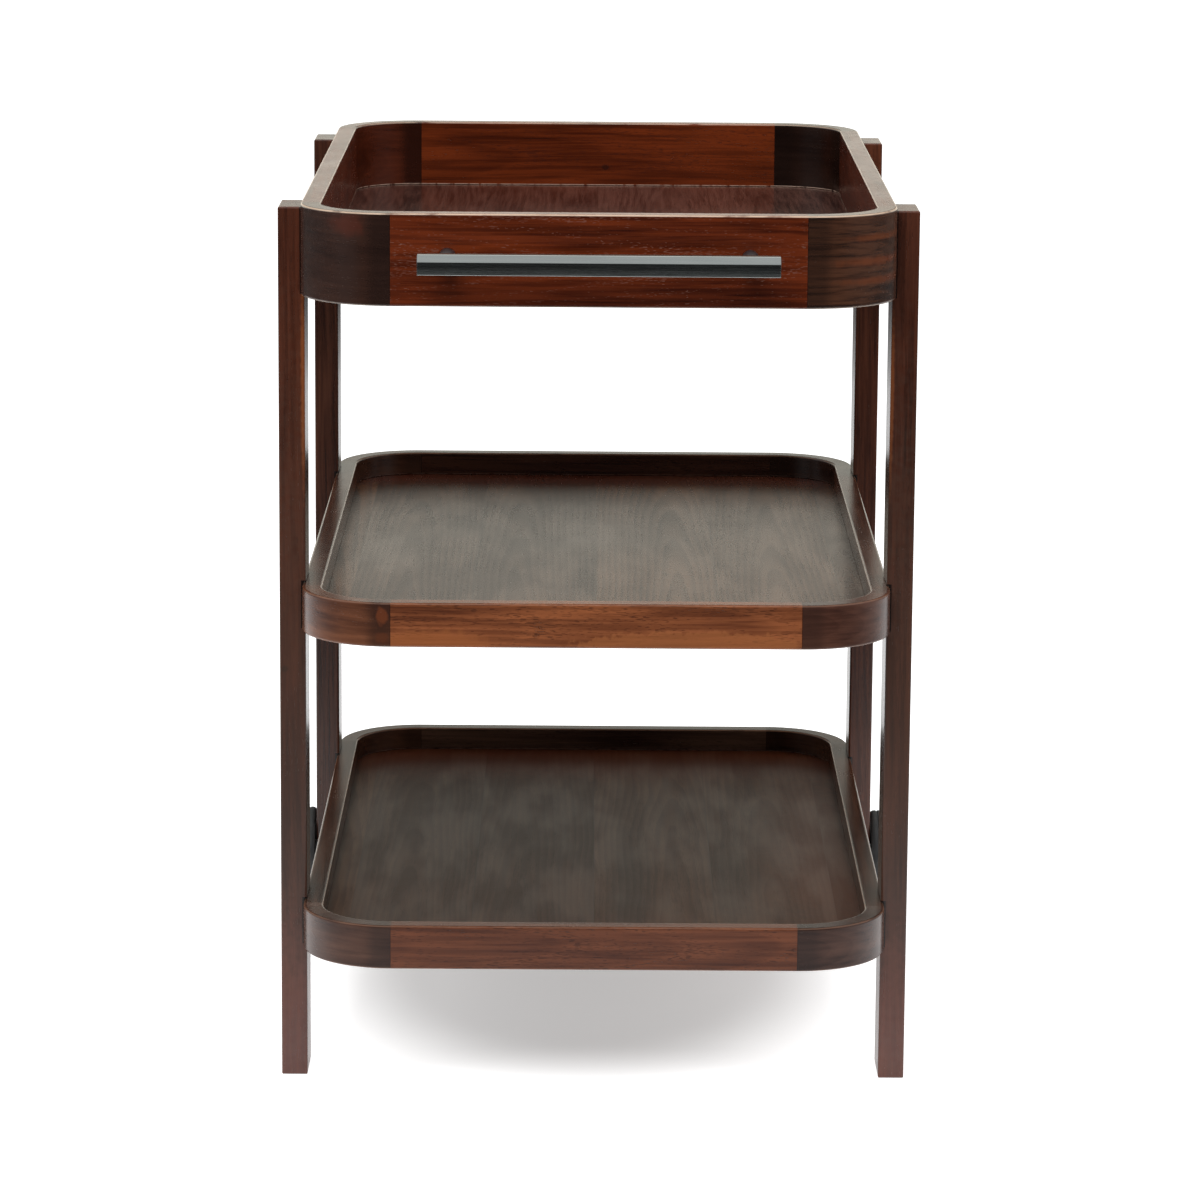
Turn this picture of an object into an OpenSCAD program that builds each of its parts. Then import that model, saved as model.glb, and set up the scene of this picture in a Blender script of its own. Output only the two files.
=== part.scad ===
// Three-tier wooden serving cart: round-cornered trays housed in four flat legs,
// a metal pull bar on the front of the deep top tray, and two wheels behind.
// X runs across the cart, Y from the pull bar (negative) to the wheels, Z is up.
// The origin lies on the ground under the middle of the whole cart.

/* [Trays] */
// Outside width of each tray
tray_width = 557; // [500:1:640]
// Outside length of each tray
tray_length = 880; // [760:10:1000]
// Outside radius of the round tray corners
corner_radius = 86.5; // [70:0.5:110]
// Thickness of the rim boards
rim_thickness = 19; // [17:0.5:24]
// Height of the top tray's rim
top_rim_height = 86; // [78:1:120]
// Height of the two lower rims
lower_rim_height = 42; // [36:1:60]
// Rounding of the long rim edges
rim_edge_radius = 2.2; // [1:0.1:3]
// Thickness of the tray floors
floor_thickness = 12; // [9:0.5:14]
// Height of a floor's underside above the rim's bottom edge
floor_lift = 6; // [4:0.5:8]
// Depth of the groove that holds the floor
groove_depth = 8; // [6:0.5:9]
// Room left for the floor to swell inside its groove
groove_clearance = 0.5; // [0.2:0.1:1.5]

/* [Heights] */
// Height of the top rim's edge above the ground
cart_height = 850; // [800:5:900]
// Height of the middle rim's edge
middle_rim_top = 486; // [440:2:520]
// Height of the bottom rim's edge
bottom_rim_top = 176; // [165:1:220]
// How far the leg tops stay below the top rim's edge
leg_drop = 6; // [0:0.5:10]

/* [Legs] */
// Width of a leg across the cart
leg_width = 25; // [22:0.5:32]
// Depth of a leg along the cart
leg_depth = 60; // [52:1:70]
// Rounding of the leg edges
leg_edge_radius = 2; // [1:0.1:3]
// Distance from a tray's corner seam to the leg beside it
leg_setback = 12; // [8:0.5:30]
// Depth of the housings that the rims sit in
housing_depth = 2.5; // [2.5:0.5:6]
// Shadow gap over a rim inside its housing
housing_clearance = 1.2; // [0.2:0.1:2]
// Height of the rear legs above the ground
rear_leg_clearance = 10; // [6:1:20]

/* [Pull bar] */
// Length of the pull bar
bar_length = 330; // [310:1:360]
// Height of the pull bar
bar_height = 18.5; // [18:0.5:24]
// Depth of the pull bar, front to back
bar_depth = 16; // [13:0.5:20]
// Height of the slanted face along the bar's top front
bar_slant_height = 6.5; // [4:0.5:9]
// Depth of that slanted face
bar_slant_depth = 6; // [3:0.5:8]
// Small flat on each sharp edge of the bar
bar_edge_flat = 0.6; // [0.3:0.1:1]
// Height of the bar's middle above the middle of the front board
bar_rise = 3.5; // [0:0.5:8]
// Distance from each end of the bar to the middle of its post
post_inset = 26; // [15:1:45]
// Length of a post, which is the hand room behind the bar
post_length = 50; // [40:1:60]
// Diameter of a post
post_diameter = 16; // [12:0.5:16.5]
// Diameter of the spigot that joins a post to the bar
spigot_diameter = 7; // [5:0.5:8]
// Length of that spigot
spigot_length = 7; // [4:0.5:9]

/* [Wheels] */
// Diameter of a wheel over its tyre
wheel_diameter = 110; // [100:1:124]
// Width of the tyre
tyre_width = 26; // [20:0.5:28]
// Thickness of the tyre
tyre_thickness = 9; // [6:0.5:11]
// Rounding of the tyre's shoulders
tyre_shoulder_radius = 4; // [2:0.5:5]
// Number of grooves round the tread
tread_groove_count = 3; // [1:1:4]
// Width of a tread groove
tread_groove_width = 1.4; // [0.8:0.1:2]
// Depth of a tread groove
tread_groove_depth = 0.8; // [0.4:0.1:1.5]
// Width of the raised band that locks the tyre onto the wheel
lock_band_width = 8; // [5:0.5:12]
// Height of that band
lock_band_height = 2; // [1:0.1:3]
// Length of the wheel hub
hub_length = 26; // [26:0.5:32]
// Diameter of the wheel hub
hub_diameter = 38; // [34:0.5:42]
// Depth of the hub's pocket for the bolt head
hub_pocket_depth = 10; // [9.5:0.5:12]
// Diameter of that pocket
hub_pocket_diameter = 26; // [22:0.5:28]
// Thickness of the wheel's web
web_thickness = 6; // [4:0.5:8]
// Radial thickness of the ring under the tyre
wheel_ring_thickness = 5; // [4:0.5:7]
// Number of stiffening ribs on the web
rib_count = 8; // [5:1:12]
// Thickness of a rib
rib_thickness = 4; // [3:0.5:6]
// How far the ribs stay behind the wheel's side faces
rib_setback = 4; // [2:0.5:8]
// Diameter of the axle bolt
axle_diameter = 8; // [7:0.5:9]
// Diameter of its head
axle_head_diameter = 14; // [12:0.5:16]
// Height of its head
axle_head_height = 4.4; // [3:0.1:5]
// Width of the axle nut over its corners
axle_nut_width = 15; // [13:0.5:17]
// Height of the axle nut
axle_nut_height = 8; // [6:0.5:10]
// Height of the nut's round collar
nut_collar_height = 2.4; // [1.5:0.1:4]
// Diameter of the nut's round collar
nut_collar_diameter = 12; // [11:0.5:12.5]
// How far the axle bolt stands out beyond its nut
axle_tail = 2; // [1:0.5:4]
// Outside diameter of the bush inside the hub
bush_diameter = 12; // [11.5:0.5:15]
// Running gap between axle and bush, all round
axle_running_gap = 0.05; // [0.02:0.01:0.1]
// Gap between turning and fixed faces beside a wheel
wheel_side_gap = 0.3; // [0.2:0.05:0.5]
// Thickness of the hub cap's rim
cap_thickness = 2.4; // [2:0.1:4]
// Height of the cap's dome beyond its rim
cap_dome_height = 1.6; // [1:0.1:3]
// Depth of the cap's plug inside the pocket
cap_plug_depth = 2.4; // [1.5:0.1:2.8]

/* [Fasteners] */
// Diameter of the bolts between legs and trays
bolt_diameter = 6; // [5:0.5:7]
// Diameter of their flat heads
bolt_head_diameter = 12; // [11:0.5:13]
// Thickness of their flat heads
bolt_head_thickness = 2.5; // [2:0.1:3]
// How far the heads lie below the leg's face
bolt_head_sink = 0.5; // [0.2:0.1:1]
// Diameter of the threaded inserts in the rims
insert_diameter = 10; // [9:0.5:11]
// Length of the threaded inserts
insert_length = 13; // [10:0.5:15]
// Distance between the two bolts of a lower rim
lower_bolt_spacing = 28; // [20:1:30]
// Height of the lower fixing of the top rim
top_fixing_low = 32; // [28:1:36]
// Height of the upper fixing of the top rim
top_fixing_high = 64; // [52:1:68]
// Diameter of the dowels in the corner seams
dowel_diameter = 8; // [6:0.5:9]
// Length of a dowel
dowel_length = 30; // [24:1:34]
// Diameter of the screws that hold the posts
post_screw_diameter = 5; // [4:0.5:5.5]
// How far such a screw enters its post
post_screw_reach = 11; // [8:0.5:14]
// Diameter of the screws' pan heads
post_screw_head_diameter = 9; // [8:0.5:11]
// Height of the pan heads
post_screw_head_height = 3; // [2:0.1:4]
// Width of the cross slots in the pan heads
cross_slot_width = 1.2; // [0.8:0.1:1.6]
// Length of the cross slots
cross_slot_length = 5.4; // [4:0.1:6.5]
// Diameter of the washers beside wheels and legs
washer_diameter = 16; // [15:0.5:20]
// Thickness of the washers
washer_thickness = 1.6; // [1:0.1:2.4]
// Radial clearance of a plain hole round its bolt or dowel
hole_clearance = 0.1; // [0.05:0.05:0.4]

/* [Glides] */
// Diameter of the glides under the front legs
glide_diameter = 18; // [14:0.5:20]
// Thickness of a glide
glide_thickness = 4; // [3:0.5:6]
// How far a glide stands out below its leg
glide_reveal = 1; // [0.5:0.1:2]
// Diameter of the glide's stem
glide_stem_diameter = 8; // [6:0.5:9]
// Length of the glide's stem
glide_stem_length = 16; // [12:1:25]

/* [Hidden] */
$fn = 96;

// Small overlap that keeps cutters clear of the faces they cut
cut = 1;
// Radial gap between pieces that are pressed or glued together
press_gap = 0.02;
// Width of a hexagon socket over its corners, as a share of its thread
socket_share = 0.7;
// Number of steps round a very large circle
fine_steps = 720;

wood_dark = [0.20, 0.10, 0.07];
wood_red = [0.32, 0.14, 0.09];
wood_brown = [0.38, 0.21, 0.13];
wood_floor = [0.27, 0.20, 0.15];
wood_pale = [0.80, 0.66, 0.45];
steel_black = [0.16, 0.17, 0.19];
steel_plain = [0.62, 0.63, 0.65];
brass_yellow = [0.74, 0.58, 0.28];
plastic_black = [0.07, 0.07, 0.08];
rubber_grey = [0.16, 0.16, 0.17];
nylon_white = [0.85, 0.84, 0.80];

// The bar makes the cart longer in front, so everything moves back by half of that
bar_reach = post_length + bar_depth;
frame_shift = bar_reach / 2;

// Trays: height of each rim's bottom edge, rim height and fixing heights above that edge
top_bottom = cart_height - top_rim_height;
middle_bottom = middle_rim_top - lower_rim_height;
bottom_bottom = bottom_rim_top - lower_rim_height;
floor_top = floor_lift + floor_thickness;
lower_fixing = floor_top + (lower_rim_height - floor_top) / 2;
TOP = [top_bottom, top_rim_height, [top_fixing_low, top_fixing_high]];
MIDDLE = [middle_bottom, lower_rim_height, [lower_fixing]];
BOTTOM = [bottom_bottom, lower_rim_height, [lower_fixing]];
TRAYS = [TOP, MIDDLE, BOTTOM];

half_width = tray_width / 2;
half_length = tray_length / 2;
inner_radius = corner_radius - rim_thickness;
seam_x = half_width - corner_radius;
seam_y = half_length - corner_radius;
rim_middle = rim_thickness / 2;

// Legs: the rims' outer faces lie on the housing floors
leg_inner_x = half_width - housing_depth;
leg_outer_x = leg_inner_x + leg_width;
leg_outer_y = seam_y - leg_setback;
leg_middle_y = leg_outer_y - leg_depth / 2;
leg_top = cart_height - leg_drop;

// Leg bolts, as [offset along the leg, height above the rim's bottom edge]
top_bolts = [[0, top_fixing_low], [0, top_fixing_high]];
lower_bolts = [[-lower_bolt_spacing / 2, lower_fixing], [lower_bolt_spacing / 2, lower_fixing]];
LEG_BOLTS = [
    for (p = top_bolts) [p[0], top_bottom + p[1]],
    for (p = lower_bolts) [p[0], middle_bottom + p[1]],
    for (p = lower_bolts) [p[0], bottom_bottom + p[1]]
];
bolt_head_x = leg_outer_x - bolt_head_sink;
bolt_seat_depth = bolt_head_sink + bolt_head_thickness;
bolt_end_x = half_width - insert_length + cut;

// Pull bar
bar_middle_z = top_bottom + top_rim_height / 2 + bar_rise;
bar_back_y = -half_length - post_length;
post_x = bar_length / 2 - post_inset;

// Wheels, measured outwards along X from the leg's outer face
axle_height = wheel_diameter / 2;
hub_start = leg_outer_x + washer_thickness + wheel_side_gap;
bush_length = hub_length - hub_pocket_depth;
tyre_start = hub_start + (hub_length - tyre_width) / 2;
tyre_seat_radius = wheel_diameter / 2 - tyre_thickness;
ring_inner_radius = tyre_seat_radius - wheel_ring_thickness;
outer_washer_start = hub_start + bush_length + wheel_side_gap;
bolt_head_start = outer_washer_start + washer_thickness;
nut_start = leg_inner_x - washer_thickness;
nut_end = nut_start - axle_nut_height;
axle_end = nut_end - axle_tail;
cap_start = hub_start + hub_length;

// Flat shapes

module rounded_rectangle(w, h, r) {
    translate([r, 0]) square([w - 2 * r, h]);
    translate([0, r]) square([w, h - 2 * r]);
    for (x = [r, w - r], y = [r, h - r]) translate([x, y]) circle(r);
}

// Section of a rim: x runs from the outer face inwards, y up from the bottom edge
module rim_section(height) {
    difference() {
        rounded_rectangle(rim_thickness, height, rim_edge_radius);
        translate([rim_thickness - groove_depth, floor_lift])
            square([groove_depth + cut, floor_thickness + groove_clearance]);
    }
}

// A cylinder that starts at x and runs along +X
module rod_x(x, y, z, r, length) {
    translate([x, y, z]) rotate([0, 90, 0]) cylinder(r = r, h = length);
}

// A cylinder that starts at y and runs along +Y
module rod_y(x, y, z, r, length) {
    translate([x, y, z]) rotate([-90, 0, 0]) cylinder(r = r, h = length);
}

// Trays

// A straight rim board along X, its outer face towards -Y
module straight_rim(length, height) {
    rotate([90, 0, 90]) linear_extrude(length, center = true) rim_section(height);
}

// Dowels of one tray, or their holes when grow is the hole clearance
module tray_dowels(tray, grow) {
    radius = dowel_diameter / 2 + grow;
    length = dowel_length + 2 * grow;
    for (z = tray[2], sx = [-1, 1], sy = [-1, 1]) {
        rod_x(sx * seam_x - length / 2, sy * (half_length - rim_middle), tray[0] + z, radius, length);
        rod_y(sx * (half_width - rim_middle), sy * seam_y - length / 2, tray[0] + z, radius, length);
    }
}

// Everything that leg bolts need in the side rims
module insert_holes() {
    for (sx = [-1, 1], sy = [-1, 1], b = LEG_BOLTS)
        mirror([sx < 0 ? 1 : 0, 0, 0])
            rod_x(half_width - insert_length, sy * leg_middle_y + b[0], b[1],
                insert_diameter / 2 + hole_clearance, insert_length + cut);
}

// Front or back rim: side is -1 at the front and 1 at the back
module end_rail(tray, side) {
    difference() {
        translate([0, 0, tray[0]]) rotate([0, 0, side > 0 ? 180 : 0]) translate([0, -half_length, 0])
            straight_rim(tray_width - 2 * corner_radius, tray[1]);
        tray_dowels(tray, hole_clearance);
    }
}

// Left or right rim: side is -1 on the left and 1 on the right
module side_rail(tray, side) {
    difference() {
        translate([0, 0, tray[0]]) rotate([0, 0, side * 90]) translate([0, -half_width, 0])
            straight_rim(tray_length - 2 * corner_radius, tray[1]);
        tray_dowels(tray, hole_clearance);
        insert_holes();
    }
}

// Quarter-round corner block at the corner with signs sx and sy
module corner_block(tray, sx, sy) {
    turn = sx > 0 ? (sy > 0 ? 0 : 270) : (sy > 0 ? 90 : 180);
    difference() {
        translate([sx * seam_x, sy * seam_y, tray[0]]) rotate([0, 0, turn])
            rotate_extrude(angle = 90) translate([corner_radius, 0]) mirror([1, 0]) rim_section(tray[1]);
        tray_dowels(tray, hole_clearance);
    }
}

// Floor panel, held in the groove all round
module floor_panel(tray) {
    edge = groove_depth - groove_clearance;
    w = tray_width - 2 * rim_thickness + 2 * edge;
    l = tray_length - 2 * rim_thickness + 2 * edge;
    translate([-w / 2, -l / 2, tray[0] + floor_lift])
        linear_extrude(floor_thickness) rounded_rectangle(w, l, inner_radius + edge);
}

// The top front rim also takes the screws of the pull bar
module top_front_board() {
    difference() {
        end_rail(TOP, -1);
        for (sx = [-1, 1])
            rod_y(sx * post_x, -half_length - cut, bar_middle_z,
                post_screw_diameter / 2 + hole_clearance, rim_thickness + 2 * cut);
    }
}

module dowels() {
    for (tray = TRAYS) tray_dowels(tray, 0);
}

module inserts() {
    for (sx = [-1, 1], sy = [-1, 1], b = LEG_BOLTS)
        mirror([sx < 0 ? 1 : 0, 0, 0]) difference() {
            rod_x(half_width - insert_length, sy * leg_middle_y + b[0], b[1],
                insert_diameter / 2, insert_length);
            rod_x(half_width - insert_length - cut, sy * leg_middle_y + b[0], b[1],
                bolt_diameter / 2 + press_gap, insert_length + 2 * cut);
        }
}

module leg_bolts() {
    for (sx = [-1, 1], sy = [-1, 1], b = LEG_BOLTS)
        mirror([sx < 0 ? 1 : 0, 0, 0]) difference() {
            union() {
                rod_x(bolt_end_x, sy * leg_middle_y + b[0], b[1],
                    bolt_diameter / 2, bolt_head_x - bolt_end_x);
                rod_x(bolt_head_x - bolt_head_thickness, sy * leg_middle_y + b[0], b[1],
                    bolt_head_diameter / 2, bolt_head_thickness);
            }
            // Socket for a hexagon key
            translate([bolt_head_x - bolt_head_thickness, sy * leg_middle_y + b[0], b[1]])
                rotate([0, 90, 0])
                    cylinder(d = socket_share * bolt_diameter, h = bolt_head_thickness + cut, $fn = 6);
        }
}

// Legs

// A bar with all its edges rounded, standing from z0 to z1, its inner face at x = 0
module eased_bar(z0, z1) {
    h = z1 - z0;
    translate([0, -leg_depth / 2, z0]) intersection() {
        linear_extrude(h) rounded_rectangle(leg_width, leg_depth, leg_edge_radius);
        rotate([90, 0, 90]) linear_extrude(leg_width) rounded_rectangle(leg_depth, h, leg_edge_radius);
        translate([0, leg_depth, 0]) rotate([90, 0, 0])
            linear_extrude(leg_depth) rounded_rectangle(leg_width, h, leg_edge_radius);
    }
}

// Right-hand leg at the front or the back, with its housings and bolt holes
module plain_leg(sy, z0) {
    y = sy * leg_middle_y;
    difference() {
        translate([leg_inner_x, y, 0]) eased_bar(z0, leg_top);
        for (tray = TRAYS)
            translate([leg_inner_x - cut, y - leg_depth / 2 - cut, tray[0]])
                cube([housing_depth + cut, leg_depth + 2 * cut, tray[1] + housing_clearance]);
        for (b = LEG_BOLTS) {
            rod_x(leg_inner_x, y + b[0], b[1], bolt_diameter / 2 + hole_clearance, leg_width + cut);
            rod_x(leg_outer_x - bolt_seat_depth, y + b[0], b[1],
                bolt_head_diameter / 2 + hole_clearance, bolt_seat_depth + cut);
        }
    }
}

module front_leg() {
    difference() {
        plain_leg(-1, glide_reveal);
        translate([leg_inner_x + leg_width / 2, -leg_middle_y, 0]) {
            cylinder(d = glide_diameter + 2 * hole_clearance, h = glide_thickness);
            cylinder(d = glide_stem_diameter + 2 * hole_clearance,
                h = glide_thickness + glide_stem_length + hole_clearance);
        }
    }
}

module rear_leg() {
    difference() {
        plain_leg(1, rear_leg_clearance);
        rod_x(leg_inner_x - cut, leg_middle_y, axle_height,
            axle_diameter / 2 + hole_clearance, leg_width + 2 * cut);
    }
}

module glide() {
    translate([leg_inner_x + leg_width / 2, -leg_middle_y, 0]) {
        cylinder(d = glide_diameter, h = glide_thickness);
        cylinder(d = glide_stem_diameter, h = glide_thickness + glide_stem_length);
    }
}

// Pull bar

// Section of the bar: x runs forwards from its back face, y up from its bottom
module bar_section() {
    e = bar_edge_flat;
    slant_foot = bar_height - bar_slant_height;
    slant_head = bar_depth - bar_slant_depth;
    polygon([
        [e, 0], [bar_depth - e, 0], [bar_depth, e], [bar_depth, slant_foot],
        [slant_head, bar_height], [e, bar_height], [0, bar_height - e], [0, e]
    ]);
}

module bar() {
    difference() {
        translate([0, bar_back_y, bar_middle_z - bar_height / 2])
            rotate([90, 0, -90]) linear_extrude(bar_length, center = true) bar_section();
        for (sx = [-1, 1])
            rod_y(sx * post_x, bar_back_y - spigot_length - press_gap, bar_middle_z,
                spigot_diameter / 2 + press_gap, spigot_length + cut);
    }
}

module post(sx) {
    difference() {
        union() {
            rod_y(sx * post_x, bar_back_y, bar_middle_z, post_diameter / 2, post_length);
            rod_y(sx * post_x, bar_back_y - spigot_length, bar_middle_z,
                spigot_diameter / 2, spigot_length + cut);
        }
        rod_y(sx * post_x, -half_length - post_screw_reach - cut, bar_middle_z,
            post_screw_diameter / 2 + press_gap, post_screw_reach + 2 * cut);
    }
}

// Pan-head screws, driven from inside the top tray
module bar_screws() {
    inner_face = -half_length + rim_thickness;
    for (sx = [-1, 1]) difference() {
        union() {
            rod_y(sx * post_x, -half_length - post_screw_reach, bar_middle_z,
                post_screw_diameter / 2, rim_thickness + post_screw_reach + cut);
            rod_y(sx * post_x, inner_face, bar_middle_z,
                post_screw_head_diameter / 2, post_screw_head_height);
        }
        for (turn = [0, 90])
            translate([sx * post_x, inner_face + post_screw_head_height, bar_middle_z]) rotate([0, turn, 0])
                cube([cross_slot_length, post_screw_head_height, cross_slot_width], center = true);
    }
}

// Right-hand wheel, turning about the axle bolt

// Revolves a section about the axle: x of the section is the radius, y the distance outwards from start
module turned(start) {
    translate([start, leg_middle_y, axle_height]) rotate([0, 90, 0]) rotate_extrude() children();
}

// Section of the band that locks the tyre, or of its groove when grow is the gap round it
module lock_band(grow) {
    translate([tyre_seat_radius - cut, (tyre_width - lock_band_width) / 2 - grow])
        square([lock_band_height + cut + grow, lock_band_width + 2 * grow]);
}

module wheel_disc() {
    web_start = (hub_length - web_thickness) / 2;
    bore = bush_diameter / 2 + press_gap;
    difference() {
        union() {
            turned(hub_start) {
                translate([bore, 0]) square([hub_diameter / 2 - bore, hub_length]);
                translate([bore, web_start]) square([ring_inner_radius + cut - bore, web_thickness]);
            }
            turned(tyre_start) {
                translate([ring_inner_radius, 0]) square([wheel_ring_thickness, tyre_width]);
                lock_band(0);
            }
            for (i = [0 : rib_count - 1])
                translate([tyre_start + rib_setback, leg_middle_y, axle_height])
                    rotate([i * 360 / rib_count, 0, 0])
                        translate([0, -rib_thickness / 2, hub_diameter / 2 - cut])
                            cube([tyre_width - 2 * rib_setback, rib_thickness,
                                ring_inner_radius - hub_diameter / 2 + 2 * cut]);
        }
        rod_x(hub_start + bush_length, leg_middle_y, axle_height,
            hub_pocket_diameter / 2, hub_pocket_depth + cut);
    }
}

// The tread grooves share the flat between the shoulders evenly
module tyre() {
    seat = tyre_seat_radius + press_gap;
    crown = wheel_diameter / 2;
    r = tyre_shoulder_radius;
    pitch = (tyre_width - 2 * r) / tread_groove_count;
    turned(tyre_start) difference() {
        union() {
            translate([seat, 0]) square([crown - r - seat, tyre_width]);
            translate([seat, r]) square([crown - seat, tyre_width - 2 * r]);
            for (y = [r, tyre_width - r]) translate([crown - r, y]) circle(r);
        }
        for (i = [0 : tread_groove_count - 1])
            translate([crown - tread_groove_depth, r + (i + 0.5) * pitch - tread_groove_width / 2])
                square([tread_groove_depth + cut, tread_groove_width]);
        lock_band(press_gap);
    }
}

module bush() {
    inner = axle_diameter / 2 + axle_running_gap;
    turned(hub_start) translate([inner, 0]) square([bush_diameter / 2 - inner, bush_length]);
}

// Cap with a shallow dome: a slice of a large ball on a flat rim, over a plug
module hub_cap() {
    cap_radius = hub_diameter / 2;
    ball = (cap_radius * cap_radius + cap_dome_height * cap_dome_height) / (2 * cap_dome_height);
    plug_radius = hub_pocket_diameter / 2 - press_gap;
    turned(cap_start) {
        square([cap_radius, cap_thickness]);
        translate([plug_radius - cap_thickness, -cap_plug_depth]) square([cap_thickness, cap_plug_depth]);
        intersection() {
            translate([0, cap_thickness + cap_dome_height - ball]) circle(ball, $fn = fine_steps);
            translate([0, cap_thickness - cut]) square([cap_radius, cap_dome_height + 2 * cut]);
        }
    }
}

module axle_bolt() {
    rod_x(axle_end, leg_middle_y, axle_height, axle_diameter / 2, bolt_head_start - axle_end);
    difference() {
        rod_x(bolt_head_start, leg_middle_y, axle_height, axle_head_diameter / 2, axle_head_height);
        translate([bolt_head_start + axle_head_height / 2, leg_middle_y, axle_height])
            rotate([0, 90, 0]) cylinder(d = socket_share * axle_diameter, h = axle_head_height, $fn = 6);
    }
}

// One washer beside the hub, one under the bolt head, one under the nut
module axle_washers() {
    for (x = [leg_outer_x, outer_washer_start, nut_start]) difference() {
        rod_x(x, leg_middle_y, axle_height, washer_diameter / 2, washer_thickness);
        rod_x(x - cut, leg_middle_y, axle_height,
            axle_diameter / 2 + hole_clearance, washer_thickness + 2 * cut);
    }
}

// Lock nut: a hexagon with a round collar that holds the nylon ring
module axle_nut() {
    difference() {
        union() {
            translate([nut_end + nut_collar_height, leg_middle_y, axle_height]) rotate([0, 90, 0])
                cylinder(d = axle_nut_width, h = axle_nut_height - nut_collar_height, $fn = 6);
            rod_x(nut_end, leg_middle_y, axle_height, nut_collar_diameter / 2, nut_collar_height + cut);
        }
        rod_x(nut_end - cut, leg_middle_y, axle_height,
            axle_diameter / 2 + press_gap, axle_nut_height + 2 * cut);
    }
}

// Left-hand pieces are the right-hand ones mirrored
module on_left() {
    mirror([1, 0, 0]) children();
}

// Moves a piece from the trays' own centre to the cart's origin
module seated() {
    translate([0, frame_shift, 0]) children();
}

module front_leg_left() { color(wood_red) seated() on_left() front_leg(); }
module front_leg_right() { color(wood_red) seated() front_leg(); }
module rear_leg_left() { color(wood_dark) seated() on_left() rear_leg(); }
module rear_leg_right() { color(wood_dark) seated() rear_leg(); }

module top_front_rail() { color(wood_red) seated() top_front_board(); }
module top_back_rail() { color(wood_red) seated() end_rail(TOP, 1); }
module top_left_rail() { color(wood_red) seated() side_rail(TOP, -1); }
module top_right_rail() { color(wood_red) seated() side_rail(TOP, 1); }
module top_corner_front_left() { color(wood_dark) seated() corner_block(TOP, -1, -1); }
module top_corner_front_right() { color(wood_dark) seated() corner_block(TOP, 1, -1); }
module top_corner_back_left() { color(wood_dark) seated() corner_block(TOP, -1, 1); }
module top_corner_back_right() { color(wood_dark) seated() corner_block(TOP, 1, 1); }
module top_floor() { color(wood_floor) seated() floor_panel(TOP); }

module middle_front_rail() { color(wood_brown) seated() end_rail(MIDDLE, -1); }
module middle_back_rail() { color(wood_brown) seated() end_rail(MIDDLE, 1); }
module middle_left_rail() { color(wood_brown) seated() side_rail(MIDDLE, -1); }
module middle_right_rail() { color(wood_brown) seated() side_rail(MIDDLE, 1); }
module middle_corner_front_left() { color(wood_dark) seated() corner_block(MIDDLE, -1, -1); }
module middle_corner_front_right() { color(wood_dark) seated() corner_block(MIDDLE, 1, -1); }
module middle_corner_back_left() { color(wood_dark) seated() corner_block(MIDDLE, -1, 1); }
module middle_corner_back_right() { color(wood_dark) seated() corner_block(MIDDLE, 1, 1); }
module middle_floor() { color(wood_floor) seated() floor_panel(MIDDLE); }

module bottom_front_rail() { color(wood_brown) seated() end_rail(BOTTOM, -1); }
module bottom_back_rail() { color(wood_brown) seated() end_rail(BOTTOM, 1); }
module bottom_left_rail() { color(wood_brown) seated() side_rail(BOTTOM, -1); }
module bottom_right_rail() { color(wood_brown) seated() side_rail(BOTTOM, 1); }
module bottom_corner_front_left() { color(wood_dark) seated() corner_block(BOTTOM, -1, -1); }
module bottom_corner_front_right() { color(wood_dark) seated() corner_block(BOTTOM, 1, -1); }
module bottom_corner_back_left() { color(wood_dark) seated() corner_block(BOTTOM, -1, 1); }
module bottom_corner_back_right() { color(wood_dark) seated() corner_block(BOTTOM, 1, 1); }
module bottom_floor() { color(wood_floor) seated() floor_panel(BOTTOM); }

module rim_dowels() { color(wood_pale) seated() dowels(); }
module threaded_inserts() { color(brass_yellow) seated() inserts(); }
module tray_bolts() { color(steel_black) seated() leg_bolts(); }

module pull_bar() { color(steel_black) seated() bar(); }
module pull_bar_post_left() { color(steel_black) seated() post(-1); }
module pull_bar_post_right() { color(steel_black) seated() post(1); }
module post_screws() { color(steel_plain) seated() bar_screws(); }

module left_wheel_disc() { color(plastic_black) seated() on_left() wheel_disc(); }
module left_tyre() { color(rubber_grey) seated() on_left() tyre(); }
module left_bush() { color(nylon_white) seated() on_left() bush(); }
module left_hub_cap() { color(plastic_black) seated() on_left() hub_cap(); }
module left_axle_bolt() { color(steel_plain) seated() on_left() axle_bolt(); }
module left_axle_washers() { color(steel_plain) seated() on_left() axle_washers(); }
module left_axle_nut() { color(steel_plain) seated() on_left() axle_nut(); }

module right_wheel_disc() { color(plastic_black) seated() wheel_disc(); }
module right_tyre() { color(rubber_grey) seated() tyre(); }
module right_bush() { color(nylon_white) seated() bush(); }
module right_hub_cap() { color(plastic_black) seated() hub_cap(); }
module right_axle_bolt() { color(steel_plain) seated() axle_bolt(); }
module right_axle_washers() { color(steel_plain) seated() axle_washers(); }
module right_axle_nut() { color(steel_plain) seated() axle_nut(); }

module front_glide_left() { color(plastic_black) seated() on_left() glide(); }
module front_glide_right() { color(plastic_black) seated() glide(); }

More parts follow.
